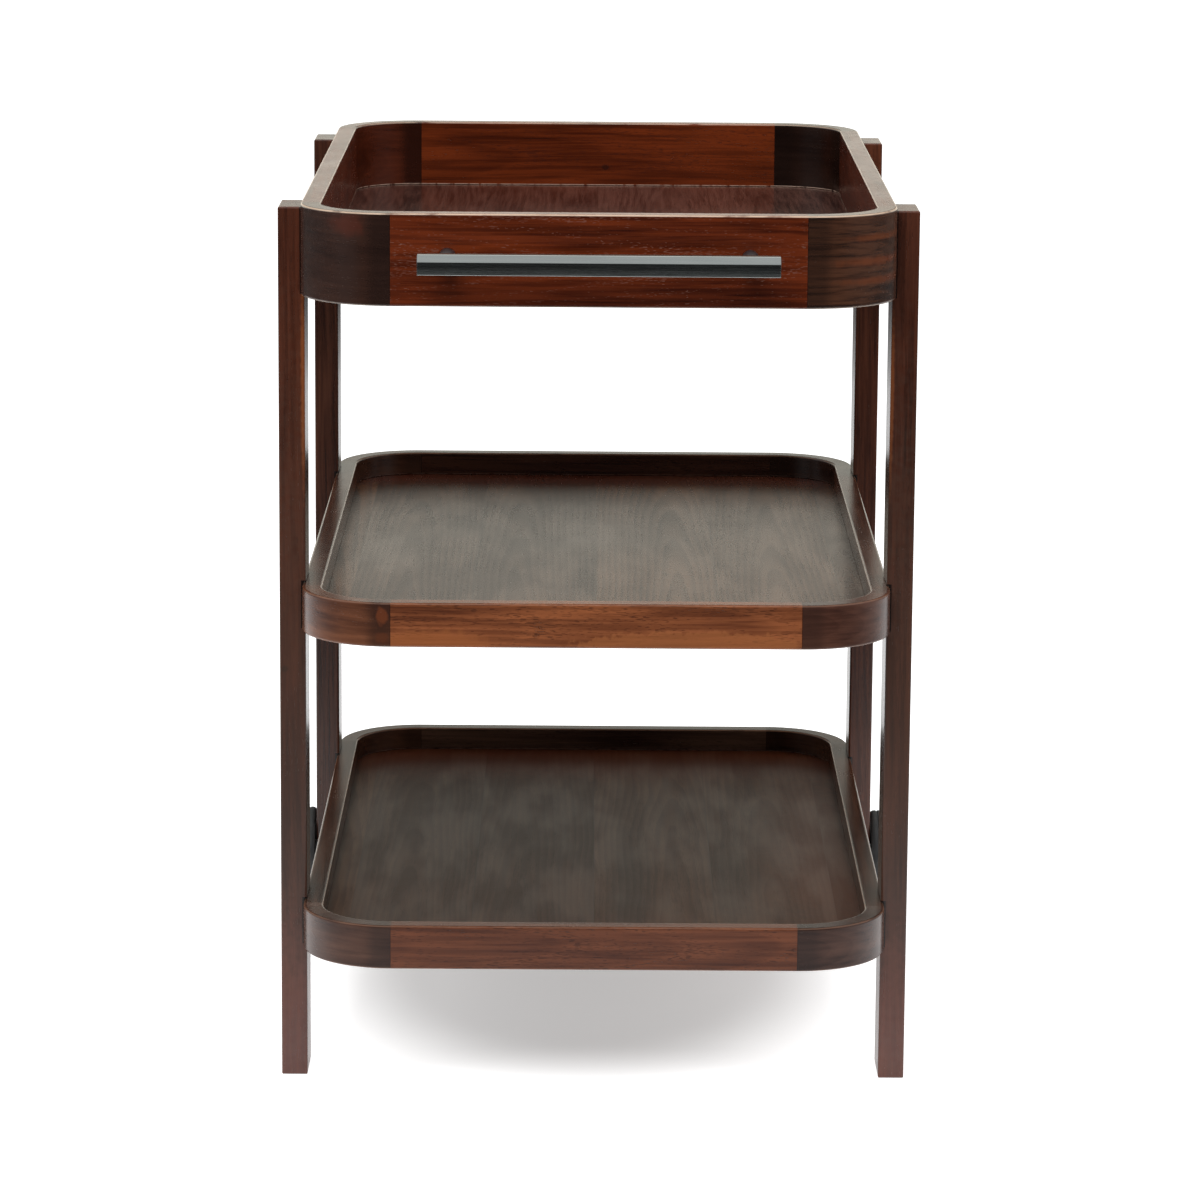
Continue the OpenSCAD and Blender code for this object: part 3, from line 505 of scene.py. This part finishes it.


# each piece's tone, as seen on a screen, and its own marks; the tones hold painted light and shade as well as
# the wood's own colour: the lower trays' front boards are set lighter and greyer where the floor's light falls
pieceLooks = {
    "top_front_rail": {"kind": "end board", "tone": (77, 28, 9), "poreColour": colour(112, 74, 62),
                       "poreLength": 0.0045, "poreWidth": 0.0007, "poreStrength": 0.6, "streakShare": 0.66},
    "top_back_rail": {"kind": "end board", "tone": (79, 29, 8), "poreColour": colour(50, 20, 12), "spots": [
        mark((0.008, 0.454, 0.802), (0.004, 0.02, 0.0025), 0.5, 0.7, (34, 12, 8))]},
    "top_left_rail": {"kind": "side board", "tone": (70, 28, 15)},
    "top_right_rail": {"kind": "side board", "tone": (66, 27, 15)},
    "top_corner_front_left": {"kind": "block", "tone": (40, 23, 18), "spots": [
        # painted reflection: a greyish band down the block's curve
        mark((-0.2315, -0.39, 0.805), (0.010, 0.05, 0.05), 0.6, 0.4, (50, 36, 32)),
        mark((-0.231, -0.39, 0.838), (0.014, 0.05, 0.009), 0.6, 0.4, (92, 40, 26))]},
    "top_corner_front_right": {"kind": "block", "tone": (47, 28, 20), "streakShare": 0.8,
                               "patchShare": 0.3, "darkShade": (0.4, 0.35, 0.35), "lightShade": (2.3, 2.2, 1.9),
                               "spots": [
        mark((0.262, -0.37, 0.828), (0.03, 0.05, 0.0028), 0.7, 0.5, (112, 56, 26)),
        mark((0.255, -0.37, 0.806), (0.04, 0.05, 0.0035), 0.7, 0.5, (112, 54, 25)),
        mark((0.262, -0.37, 0.788), (0.04, 0.05, 0.003), 0.7, 0.5, (108, 52, 24))]},
    "top_corner_back_left": {"kind": "block", "tone": (56, 21, 10), "seamShade": 0.85},
    "top_corner_back_right": {"kind": "block", "tone": (25, 13, 9), "streakShare": 0.3},
    "top_floor": {"kind": "floor", "tone": (67, 42, 37), "gloss": 0.24},
    "middle_front_rail": {"kind": "end board", "tone": (112, 62, 37), "spots": [
        mark((0.09, -0.407, 0.446), (0.112, 0.02, 0.014), 0.1, 0.6, (146, 88, 51)),
        mark((-0.155, -0.407, 0.449), (0.05, 0.02, 0.011), 0.3, 0.5, (144, 84, 46))]},
    "middle_back_rail": {"kind": "end board", "tone": (52, 28, 19)},
    "middle_left_rail": {"kind": "side board", "tone": (66, 36, 24)},
    "middle_right_rail": {"kind": "side board", "tone": (66, 36, 24)},
    "middle_corner_front_left": {"kind": "block", "tone": (86, 50, 34), "seamShade": 0.7, "spots": [
        mark((-0.1995, -0.406, 0.4735), (0.0085, 0.02, 0.0125), 0.3, 0.6, (52, 26, 17)),
        mark((-0.1995, -0.406, 0.4735), (0.0055, 0.02, 0.0085), 0.25, 0.95, (150, 76, 38)),
        mark((-0.199, -0.406, 0.4525), (0.006, 0.02, 0.005), 0.4, 0.7, (134, 70, 38))]},
    "middle_corner_front_right": {"kind": "block", "gloss": 0.35, "tone": (66, 40, 32)},
    "middle_corner_back_left": {"kind": "block", "tone": (56, 32, 22)},
    "middle_corner_back_right": {"kind": "block", "tone": (50, 29, 20)},
    "middle_floor": {"kind": "floor", "tone": (84, 50, 26), "rough": 0.25, "gloss": 0.4, "coatThin": 0.015,
                     "coatThick": 0.185, "poreCoat": 0.07, "poreStrength": 0.5, "bumpStrength": 0.0002,
                     "ringShare": 0.4, "bend": 0.012, "poreLength": 0.018, "poreWidth": 0.0012,
                     "poreShare": 0.31, "streakShare": 0.12, "patchShare": 0.45, "spots": [
        # painted shade: the floor darker and redder along the back wall, where the wall shades it
        mark((0.0, 0.45, 0.462), (0.5, 0.07, 0.05), 0.4, 0.85, (78, 36, 24)),
        # painted sheen: pale greyish ovals where the lacquer catches more light
        mark((-0.202, -0.017, 0.462), (0.036, 0.1, 0.05), 0.5, 0.5, (112, 96, 84)),
        mark((0.008, 0.07, 0.462), (0.075, 0.08, 0.05), 0.6, 0.4, (108, 92, 80))]},
    "bottom_front_rail": {"kind": "end board", "gloss": 0.35, "tone": (91, 49, 31), "streakShare": 0.35,
                          "patchShare": 0.2},
    "bottom_back_rail": {"kind": "end board", "gloss": 0.35, "tone": (54, 36, 28)},
    "bottom_left_rail": {"kind": "side board", "gloss": 0.13, "tone": (58, 34, 24)},
    "bottom_right_rail": {"kind": "side board", "gloss": 0.13, "tone": (58, 34, 24)},
    "bottom_corner_front_left": {"kind": "block", "gloss": 0.35, "tone": (62, 39, 31)},
    "bottom_corner_front_right": {"kind": "block", "gloss": 0.35, "tone": (59, 38, 32)},
    "bottom_corner_back_left": {"kind": "block", "gloss": 0.2, "tone": (52, 31, 22)},
    "bottom_corner_back_right": {"kind": "block", "gloss": 0.2, "tone": (48, 29, 21)},
    "bottom_floor": {"kind": "floor", "tone": (70, 40, 20), "rough": 0.34, "gloss": 0.07, "coatThin": 0.0,
                     "coatThick": 0.15, "poreCoat": 0.0, "poreStrength": 0.3, "ringShare": 0.16,
                     "streakShare": 0.2, "patchShare": 0.2, "spots": [
        # painted shade: the floor darker and redder along the back wall, where the wall shades it
        mark((0.0, 0.43, 0.152), (0.5, 0.1, 0.05), 0.5, 0.7, (74, 36, 22)),
        mark((0.25, -0.02, 0.152), (0.06, 0.32, 0.05), 0.7, 0.6, (88, 46, 26)),
        mark((0.035, -0.16, 0.152), (0.02, 0.2, 0.05), 0.7, 0.6, (38, 24, 17)),
        mark((0.135, -0.14, 0.152), (0.02, 0.16, 0.05), 0.7, 0.5, (42, 27, 19))]},
    "front_leg_left": {"kind": "leg", "tone": (62, 30, 20), "spots": [
        mark((-0.282, -0.3085, 0.66), (0.009, 0.02, 0.16), 0.7, 0.12, (112, 56, 28)),
        # painted highlight: a thin orange line along the leg's inner front edge
        mark((-0.2772, -0.3085, 0.68), (0.0024, 0.02, 0.09), 0.5, 0.6, (150, 82, 38)),
        mark((-0.2965, -0.307, 0.402), (0.0035, 0.03, 0.003), 0.5, 0.7, (40, 24, 18)),
        *legSheenMarks(-1)]},
    "front_leg_right": {"kind": "leg", "tone": (61, 30, 20), "spots": [
        # painted highlight: a thin orange line along the leg's inner front edge
        mark((0.2772, -0.3085, 0.665), (0.002, 0.02, 0.075), 0.5, 0.5, (140, 76, 36)),
        *legSheenMarks(1)]},
    "rear_leg_left": {"kind": "leg", "tone": (56, 30, 21)},
    "rear_leg_right": {"kind": "leg", "tone": (68, 34, 22)},
}

# the top tray's edges are painted paler, as wear and as painted highlight, its rims' top faces carry a painted
# sheen, its floor's joint line (filler and painted highlight) is stronger and its lacquer is glossier
topTrayTouches = {"arrisShare": 0.7, "topFaceSheenShare": 0.09, "wearAndHighlightColour": colour(208, 182, 158),
                  "fillerAndHighlightShare": 0.55, "gloss": 0.53}

for number, (node, own) in enumerate(pieceLooks.items()):
    # each piece is cut from another place of the log
    low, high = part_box(node)
    tray = node.split("_")[0]
    look = {**baseWood, "middle": tuple((low + high) / 2), "shift": (0.37 * number, 0.13 * number, 0.61 * number),
            **kindLooks[own["kind"]], **(topTrayTouches if tray == "top" else {}), **own}
    isRim = own["kind"] in ("end board", "side board", "block")
    dress(node, woodMaterial(node + "_wood", look, trayLevels[tray] if isRim else None))
dowelTone = {"tone": (206, 176, 130), "poreColour": colour(150, 116, 78), "rough": 0.6,
             "middle": (0.0, 0.0, 0.0), "shift": (0.0, 0.0, 0.0),
             "darkShade": (0.8, 0.8, 0.8), "lightShade": (1.15, 1.15, 1.15)}
dress("rim_dowels", woodMaterial("dowelWood", {**baseWood, **dowelTone}))
print("wood finished")


scratchDepth, pebbleDepth = 0.0001, 0.0002  # of the bumps in metal and in plastic, in metres


def metalMaterial(name, look):
    material, tree, shader, place = startMaterial(name)
    lines, tone = useGroup(tree, brushing, Vector=place, Line_Width=look["lineWidth"])
    mixed = total(tree, product(tree, lines, 0.5), product(tree, tone, 0.5))
    tree.links.new(blendColour(tree, ramp(tree, mixed, 0.3, 0.7), look["dark"], look["light"]),
                   shader.inputs["Base Color"])
    shader.inputs["Metallic"].default_value = look["metallic"]
    rough = total(tree, look["rough"], ramp(tree, lines, 0.3, 0.7, -0.05, 0.08))
    tree.links.new(rough, shader.inputs["Roughness"])
    bump = put(tree, "ShaderNodeBump", Strength=look["bump"], Distance=scratchDepth, Height=lines)
    tree.links.new(bump.outputs[0], shader.inputs["Normal"])
    return material


def mouldedMaterial(name, look):
    material, tree, shader, place = startMaterial(name)
    height, dust = useGroup(tree, fineGrain, Vector=place, Scale=look["grain"])
    base = blendColour(tree, ramp(tree, noise(tree, place, 60.0), 0.3, 0.7), look["dark"], look["light"])
    base = blendColour(tree, product(tree, dust, look["dust"]), base, colour(120, 116, 110))
    tree.links.new(base, shader.inputs["Base Color"])
    tree.links.new(total(tree, look["rough"], product(tree, dust, 0.15)), shader.inputs["Roughness"])
    bump = put(tree, "ShaderNodeBump", Strength=look["bump"], Distance=pebbleDepth, Height=height)
    tree.links.new(bump.outputs[0], shader.inputs["Normal"])
    return material


def barMaterial(name, look):
    # brushed steel with painted reflection on it: its colour changes with height, lighter towards its lower edge,
    # and lightest along the top as a painted highlight
    material = metalMaterial(name, look)
    tree = material.node_tree
    shader = tree.nodes["Principled BSDF"]
    z = splitXyz(tree, tree.nodes.new("ShaderNodeTexCoord").outputs["Object"])[2]
    low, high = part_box("pull_bar")
    share = calc(tree, "DIVIDE", calc(tree, "SUBTRACT", z, low.z), high.z - low.z)
    lower = ramp(tree, share, *look["lowerPart"], look["floorReflectionGain"], look["upperGain"])
    paintedLightGain = ramp(tree, share, *look["slantStart"], lower, look["slantGain"])
    paintedLightGain = calc(tree, "MAXIMUM", paintedLightGain, ramp(tree, share, *look["topHighlightRange"], 0.0, look["topHighlightGain"]))
    brushed = shader.inputs["Base Color"].links[0].from_socket
    paintedLightColour = put(tree, "ShaderNodeVectorMath", i0=brushed, i3=paintedLightGain)
    paintedLightColour.operation = "SCALE"
    tree.links.new(paintedLightColour.outputs[0], shader.inputs["Base Color"])
    return material


metalLooks = {
    "postSteel": {"dark": colour(96, 98, 104), "light": colour(124, 127, 132), "metallic": 1.0, "rough": 0.45,
                  "bump": 0.1, "lineWidth": 0.0003},
    "zincSteel": {"dark": colour(176, 176, 178), "light": colour(206, 206, 208), "metallic": 1.0, "rough": 0.32,
                  "bump": 0.1, "lineWidth": 0.0005},
    "blackBolt": {"dark": colour(32, 32, 34), "light": colour(48, 48, 50), "metallic": 0.6, "rough": 0.38,
                  "bump": 0.1, "lineWidth": 0.0005},
    "insertBrass": {"dark": colour(176, 142, 70), "light": colour(206, 172, 96), "metallic": 1.0, "rough": 0.3,
                    "bump": 0.1, "lineWidth": 0.0004},
}
mouldedLooks = {
    "wheelPlastic": {"dark": colour(26, 26, 28), "light": colour(36, 36, 38), "rough": 0.42, "grain": 1400.0,
                     "bump": 0.2, "dust": 0.3},
    "tyreRubber": {"dark": colour(40, 41, 42), "light": colour(54, 55, 56), "rough": 0.7, "grain": 800.0,
                   "bump": 0.4, "dust": 0.5},
    "paleNylon": {"dark": colour(206, 202, 190), "light": colour(224, 220, 208), "rough": 0.45, "grain": 1200.0,
                  "bump": 0.1, "dust": 0.1},
    "glidePlastic": {"dark": colour(34, 33, 32), "light": colour(46, 45, 44), "rough": 0.5, "grain": 1200.0,
                     "bump": 0.2, "dust": 0.3},
}
finishes = {name: metalMaterial(name, look) for name, look in metalLooks.items()}
finishes.update({name: mouldedMaterial(name, look) for name, look in mouldedLooks.items()})
finishes["barSteel"] = barMaterial("barSteel", {
    "dark": colour(136, 141, 140), "light": colour(150, 155, 154), "metallic": 1.0, "rough": 0.24, "bump": 0.05,
    "lineWidth": 0.0003, "floorReflectionGain": 1.7, "upperGain": 0.95, "slantGain": 1.05, "topHighlightGain": 2.2,
    "lowerPart": (0.05, 0.55), "slantStart": (0.62, 0.70), "topHighlightRange": (0.97, 0.985)})
wornBy = {
    "barSteel": ["pull_bar"],
    "postSteel": ["pull_bar_post_left", "pull_bar_post_right"],
    "blackBolt": ["tray_bolts"],
    "zincSteel": ["post_screws"] + [side + piece for side in ("left", "right")
                                    for piece in ("_axle_bolt", "_axle_washers", "_axle_nut")],
    "insertBrass": ["threaded_inserts"],
    "wheelPlastic": [side + piece for side in ("left", "right") for piece in ("_wheel_disc", "_hub_cap")],
    "tyreRubber": ["left_tyre", "right_tyre"],
    "paleNylon": ["left_bush", "right_bush"],
    "glidePlastic": ["front_glide_left", "front_glide_right"],
}
for name, wearers in wornBy.items():
    for node in wearers:
        dress(node, finishes[name])
print("metal, rubber and plastic finished")


def gridMesh(name, points, material, endFaces=False, closedAlong=False):
    # points is an array of rows x columns x 3: each row closes on itself, neighbouring rows are joined by
    # four-sided faces, and the rows either close as a ring or may end in one flat face each
    rows, columns = points.shape[:2]
    index = np.arange(rows * columns).reshape(rows, columns)
    following = np.roll(index, -1, axis=0) if closedAlong else index[1:]
    current = index if closedAlong else index[:-1]
    faces = np.stack([current, np.roll(current, -1, axis=1), np.roll(following, -1, axis=1), following], axis=-1)
    faceList = faces.reshape(-1, 4).tolist()
    if endFaces:
        faceList.append(index[0][::-1].tolist())
        faceList.append(index[-1].tolist())
    mesh = bpy.data.meshes.new(name)
    mesh.from_pydata(points.reshape(-1, 3).tolist(), [], faceList)
    mesh.polygons.foreach_set("use_smooth", np.ones(len(mesh.polygons), bool))
    mesh.update()
    mesh.materials.append(material)
    piece = bpy.data.objects.new(name, mesh)
    bpy.context.scene.collection.objects.link(piece)
    return piece


def roundedOutline(corners, radius, steps):
    # a closed outline with each corner replaced by an arc that touches both its sides: the arc's points are
    # the corner's two touching points swung round the arc's centre
    corners = np.asarray(corners, float)
    before = np.roll(corners, 1, axis=0) - corners
    after = np.roll(corners, -1, axis=0) - corners
    before /= np.linalg.norm(before, axis=1, keepdims=True)
    after /= np.linalg.norm(after, axis=1, keepdims=True)
    half = np.arccos(np.clip((before * after).sum(1), -1, 1)) / 2
    middle = before + after
    middle /= np.linalg.norm(middle, axis=1, keepdims=True)
    centres = corners + middle * (radius / np.sin(half))[:, None]
    first = corners + before * (radius / np.tan(half))[:, None] - centres
    last = corners + after * (radius / np.tan(half))[:, None] - centres
    start = np.arctan2(first[:, 1], first[:, 0])
    swing = np.arctan2(last[:, 1], last[:, 0]) - start
    swing = (swing + np.pi) % (2 * np.pi) - np.pi
    angle = start[:, None] + swing[:, None] * np.linspace(0, 1, steps)
    arcs = centres[:, None, :] + radius * np.stack([np.cos(angle), np.sin(angle)], axis=-1)
    return arcs.reshape(-1, 2)


barLook = {"edgeRadius": 0.0007, "endRadius": 0.0009, "arcSteps": 5, "slantHeight": 0.0065, "slantDepth": 0.006}


def makeBar():
    # The bar's section, a rectangle with one slanted side, is carried along X; near both ends the section
    # draws in along a quarter circle, so the end edges are rounded as well
    low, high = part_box("pull_bar")
    depth, height = high.y - low.y, high.z - low.z
    corners = [(0, 0), (depth, 0), (depth, height - barLook["slantHeight"]), (depth - barLook["slantDepth"], height),
               (0, height)]
    turn = np.linspace(0, np.pi / 2, barLook["arcSteps"])
    along = barLook["endRadius"] * (1 - np.cos(turn))
    inset = barLook["endRadius"] * (1 - np.sin(turn))
    stations = np.concatenate([low.x + along, (high.x - along)[::-1]])
    insets = np.concatenate([inset, inset[::-1]])
    outline = roundedOutline(corners, barLook["edgeRadius"], barLook["arcSteps"])
    centre = outline.mean(0)
    reach = np.abs(outline - centre).max(0)
    rows = centre + (outline - centre) * (1 - insets[:, None, None] / reach)
    points = np.stack([np.broadcast_to(stations[:, None], rows.shape[:2]), high.y - rows[..., 0],
                       low.z + rows[..., 1]], axis=-1)
    bar = gridMesh("barShell", points, finishes["barSteel"], endFaces=True)
    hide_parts("pull_bar")
    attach(bar, "cart")


treadLook = {"shoulder": 0.004, "grooveCount": 3, "grooveWidth": 0.0014, "grooveDepth": 0.0008, "thickness": 0.009,
             "around": 180, "treadSteps": 91, "shoulderSteps": 8, "seatGap": 0.00002}


def makeTyre(side):
    # A closed section is turned about the axle: its tread is flat, its shoulders are quarter circles, and the
    # shallow tread grooves are bell-shaped dips in the radius
    low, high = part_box(side + "_tyre")
    radius = (high.z - low.z) / 2
    middle = (low + high) / 2
    half = (high.x - low.x) / 2
    bend = treadLook["shoulder"]
    turn = np.linspace(0, np.pi / 2, treadLook["shoulderSteps"])
    flat = np.linspace(bend - half, half - bend, treadLook["treadSteps"])
    pitch = 2 * (half - bend) / treadLook["grooveCount"]
    grooves = (np.arange(treadLook["grooveCount"]) + 0.5) * pitch - (half - bend)
    dip = np.exp(-((flat[:, None] - grooves) / (treadLook["grooveWidth"] / 2)) ** 4).sum(1)
    inner = radius - treadLook["thickness"] + treadLook["seatGap"]
    sectionX = np.concatenate([[-half], bend - half - bend * np.cos(turn), flat[1:-1],
                               half - bend + bend * np.sin(turn), [half]])
    sectionR = np.concatenate([[inner], radius - bend + bend * np.sin(turn),
                               (radius - treadLook["grooveDepth"] * dip)[1:-1],
                               radius - bend + bend * np.cos(turn), [inner]])
    angle = np.linspace(0, 2 * np.pi, treadLook["around"], endpoint=False)
    points = np.stack(np.broadcast_arrays(middle.x + sectionX[:, None],
                                          middle.y + sectionR[:, None] * np.cos(angle),
                                          middle.z + sectionR[:, None] * np.sin(angle)), axis=-1)
    tyre = gridMesh(side + "TyreShell", points, finishes["tyreRubber"], closedAlong=True)
    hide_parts(side + "_tyre")
    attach(tyre, side + "_wheel")


makeBar()
makeTyre("left")
makeTyre("right")
print("bar and tyres made")

# The floor bounces light beside and behind the cart and is dark in front, where its mirror image would wash
# out the front faces; near the cart's feet it glows, a painted pool of light on the legs' low ends. The camera
# sees it white, apart from a soft oval of painted shadow under the cart, laid over the real shadow.
floorLook = {"size": 30.0, "near": (0.86, 0.86, 0.86, 1), "far": (0.05, 0.05, 0.05, 1), "litMiddle": (0.0, 1.9),
             "litRadii": (3.4, 3.2), "litFrom": 0.78, "litBy": 1.2, "shadowShare": 0.72, "lift": 0.40,
             "shadowMiddle": (-0.01, 0.1), "shadowRadii": (0.28, 0.45), "whiteFrom": 0.6, "whiteBy": 1.2,
             "footGlow": 0.6, "footFrom": 0.72, "footBy": 0.80}


def ovalDistance(tree, place, middle, radii):
    # how far out a place on the ground lies: 0 in the oval's middle, 1 on its outline
    x, y = splitXyz(tree, place)[:2]
    wide = calc(tree, "DIVIDE", calc(tree, "SUBTRACT", x, middle[0]), radii[0])
    long = calc(tree, "DIVIDE", calc(tree, "SUBTRACT", y, middle[1]), radii[1])
    return measure(tree, joinXyz(tree, wide, long, 0.0))


def makeFloor():
    half = floorLook["size"] / 2
    mesh = bpy.data.meshes.new("studioFloor")
    mesh.from_pydata([(-half, -half, 0), (half, -half, 0), (half, half, 0), (-half, half, 0)], [], [(0, 1, 2, 3)])
    floor = bpy.data.objects.new("studioFloor", mesh)
    bpy.context.scene.collection.objects.link(floor)
    material = bpy.data.materials.new("studioFloor")
    material.use_nodes = True
    tree = material.node_tree
    tree.nodes.clear()
    place = tree.nodes.new("ShaderNodeTexCoord").outputs["Object"]
    litDistance = ovalDistance(tree, place, floorLook["litMiddle"], floorLook["litRadii"])
    fade = ramp(tree, litDistance, floorLook["litFrom"], floorLook["litBy"])
    bounced = put(tree, "ShaderNodeBsdfDiffuse", Color=blendColour(tree, fade, floorLook["near"], floorLook["far"]))
    # painted light: the floor glows near the cart to light the legs' low ends
    footLight = put(tree, "ShaderNodeEmission", Strength=ramp(tree, litDistance, floorLook["footFrom"],
                                                              floorLook["footBy"], floorLook["footGlow"], 0.0))
    lit = put(tree, "ShaderNodeAddShader", i0=bounced.outputs[0], i1=footLight.outputs[0])
    plain = put(tree, "ShaderNodeBsdfDiffuse", Color=(floorLook["shadowShare"],) * 3 + (1,))
    # painted shadow: the camera's white rises from a dim oval under the cart outwards
    paintedShadowGlow = put(tree, "ShaderNodeEmission",
               Strength=ramp(tree, ovalDistance(tree, place, floorLook["shadowMiddle"], floorLook["shadowRadii"]),
                             floorLook["whiteFrom"], floorLook["whiteBy"], floorLook["lift"], 1.0))
    shown = put(tree, "ShaderNodeAddShader", i0=plain.outputs[0], i1=paintedShadowGlow.outputs[0])
    seen = tree.nodes.new("ShaderNodeLightPath").outputs["Is Camera Ray"]
    mixed = put(tree, "ShaderNodeMixShader", Fac=seen, i1=lit.outputs[0], i2=shown.outputs[0])
    tree.links.new(mixed.outputs[0], tree.nodes.new("ShaderNodeOutputMaterial").inputs[0])
    mesh.materials.append(material)


# strengths of the studio round the cart: what lights it, and what its gloss mirrors in each direction; the
# pairs say where one changes into the next, in shares of backward or of up
worldLook = {"fill": 0.42, "shown": 1.0, "overhead": 1.0, "front": 0.05, "side": 0.6, "backLow": 1.3,
             "backMiddle": 0.45, "backFade": 0.25, "backTint": (1.0, 0.98, 0.86, 1), "backFrom": (0.5, 0.85),
             "frontUntil": (-0.85, -0.4), "lowUntil": (0.11, 0.17), "fadeFrom": (0.3, 0.5),
             "overheadFrom": (0.45, 0.75)}


def makeWorld():
    # white for the camera; gloss mirrors a pale low backdrop behind, open sides, a dark room in front and
    # pale light overhead; all else gets an even fill
    world = bpy.data.worlds.new("studioWorld")
    world.use_nodes = True
    tree = world.node_tree
    direction = tree.nodes.new("ShaderNodeTexCoord").outputs["Generated"]
    x, y, z = splitXyz(tree, direction)
    backward = calc(tree, "DIVIDE", y, measure(tree, joinXyz(tree, x, y, 0.0)))
    back = ramp(tree, backward, *worldLook["backFrom"])
    front = ramp(tree, backward, *worldLook["frontUntil"], 1.0, 0.0)
    backdrop = product(tree, ramp(tree, z, *worldLook["lowUntil"], worldLook["backLow"], worldLook["backMiddle"]),
                       ramp(tree, z, *worldLook["fadeFrom"], 1.0, worldLook["backFade"]))
    level = ramp(tree, back, 0.0, 1.0, worldLook["side"], backdrop)
    level = ramp(tree, front, 0.0, 1.0, level, worldLook["front"])
    mirrored = ramp(tree, z, *worldLook["overheadFrom"], level, worldLook["overhead"])
    rays = tree.nodes.new("ShaderNodeLightPath").outputs
    glossy = calc(tree, "MAXIMUM", rays["Is Glossy Ray"], rays["Is Transmission Ray"])
    strength = ramp(tree, glossy, 0.0, 1.0, worldLook["fill"], mirrored)
    strength = ramp(tree, rays["Is Camera Ray"], 0.0, 1.0, strength, worldLook["shown"])
    tint = blendColour(tree, product(tree, glossy, back), (1, 1, 1, 1), worldLook["backTint"])
    tree.links.new(tint, tree.nodes["Background"].inputs["Color"])
    tree.links.new(strength, tree.nodes["Background"].inputs["Strength"])
    bpy.context.scene.world = world


lampAim = (0.0, 0.0, 0.5)  # the cart's middle
lamps = {
    "overheadSoftbox": {"place": (0.0, -0.6, 3.4), "size": (2.6, 2.6), "watts": 60},
    "frontSoftbox": {"place": (-0.5, -3.4, 3.1), "size": (1.6, 1.6), "watts": 85},
    "leftSoftbox": {"place": (-3.2, -0.6, 1.8), "size": (1.4, 2.2), "watts": 30},
    "rightSoftbox": {"place": (3.2, -0.6, 1.8), "size": (1.4, 2.2), "watts": 30},
}


def makeLamps():
    for name, look in lamps.items():
        data = bpy.data.lights.new(name, "AREA")
        data.shape = "RECTANGLE"
        data.size, data.size_y = look["size"]
        data.energy = look["watts"]
        lamp = bpy.data.objects.new(name, data)
        # the world gives the reflections
        lamp.visible_glossy = False
        place = np.array(look["place"])
        back = place - lampAim
        back /= np.linalg.norm(back)
        side = np.cross((0, 0, 1), back)
        side /= np.linalg.norm(side)
        matrix = np.eye(4)
        matrix[:3, 0], matrix[:3, 1], matrix[:3, 2], matrix[:3, 3] = side, np.cross(back, side), back, place
        lamp.matrix_world = Matrix(matrix.tolist())
        bpy.context.scene.collection.objects.link(lamp)


# the camera's place is given from the trays' middle, as it was fitted
cameraLook = {"lens": 149.19, "sensor": 36.0, "place": (-0.00983, -4.98008, 1.37712), "tiltDown": 0.1929,
              "turn": -0.0029, "roll": 0.0074, "clipEnd": 100.0}


def makeCamera():
    # right, up and ahead follow from the turn and the downward tilt, and the roll then spins right and up
    tilt, turn, roll = cameraLook["tiltDown"], cameraLook["turn"], cameraLook["roll"]
    ahead = np.array([-math.sin(turn) * math.cos(tilt), math.cos(turn) * math.cos(tilt), -math.sin(tilt)])
    level = np.array([math.cos(turn), math.sin(turn), 0.0])
    upright = np.array([-math.sin(turn) * math.sin(tilt), math.cos(turn) * math.sin(tilt), math.cos(tilt)])
    matrix = np.eye(4)
    matrix[:3, 0] = level * math.cos(roll) + upright * math.sin(roll)
    matrix[:3, 1] = upright * math.cos(roll) - level * math.sin(roll)
    matrix[:3, 2] = -ahead
    matrix[:3, 3] = cameraLook["place"]
    matrix[1, 3] += trayShape["middleY"]
    data = bpy.data.cameras.new("photoCamera")
    data.lens, data.sensor_width, data.sensor_fit = cameraLook["lens"], cameraLook["sensor"], "HORIZONTAL"
    data.clip_end = cameraLook["clipEnd"]
    camera = bpy.data.objects.new("photoCamera", data)
    camera.matrix_world = Matrix(matrix.tolist())
    bpy.context.scene.collection.objects.link(camera)
    bpy.context.scene.camera = camera


makeFloor()
makeWorld()
makeLamps()
makeCamera()
bpy.context.scene.view_settings.view_transform = "Standard"
print("floor, light and camera set")
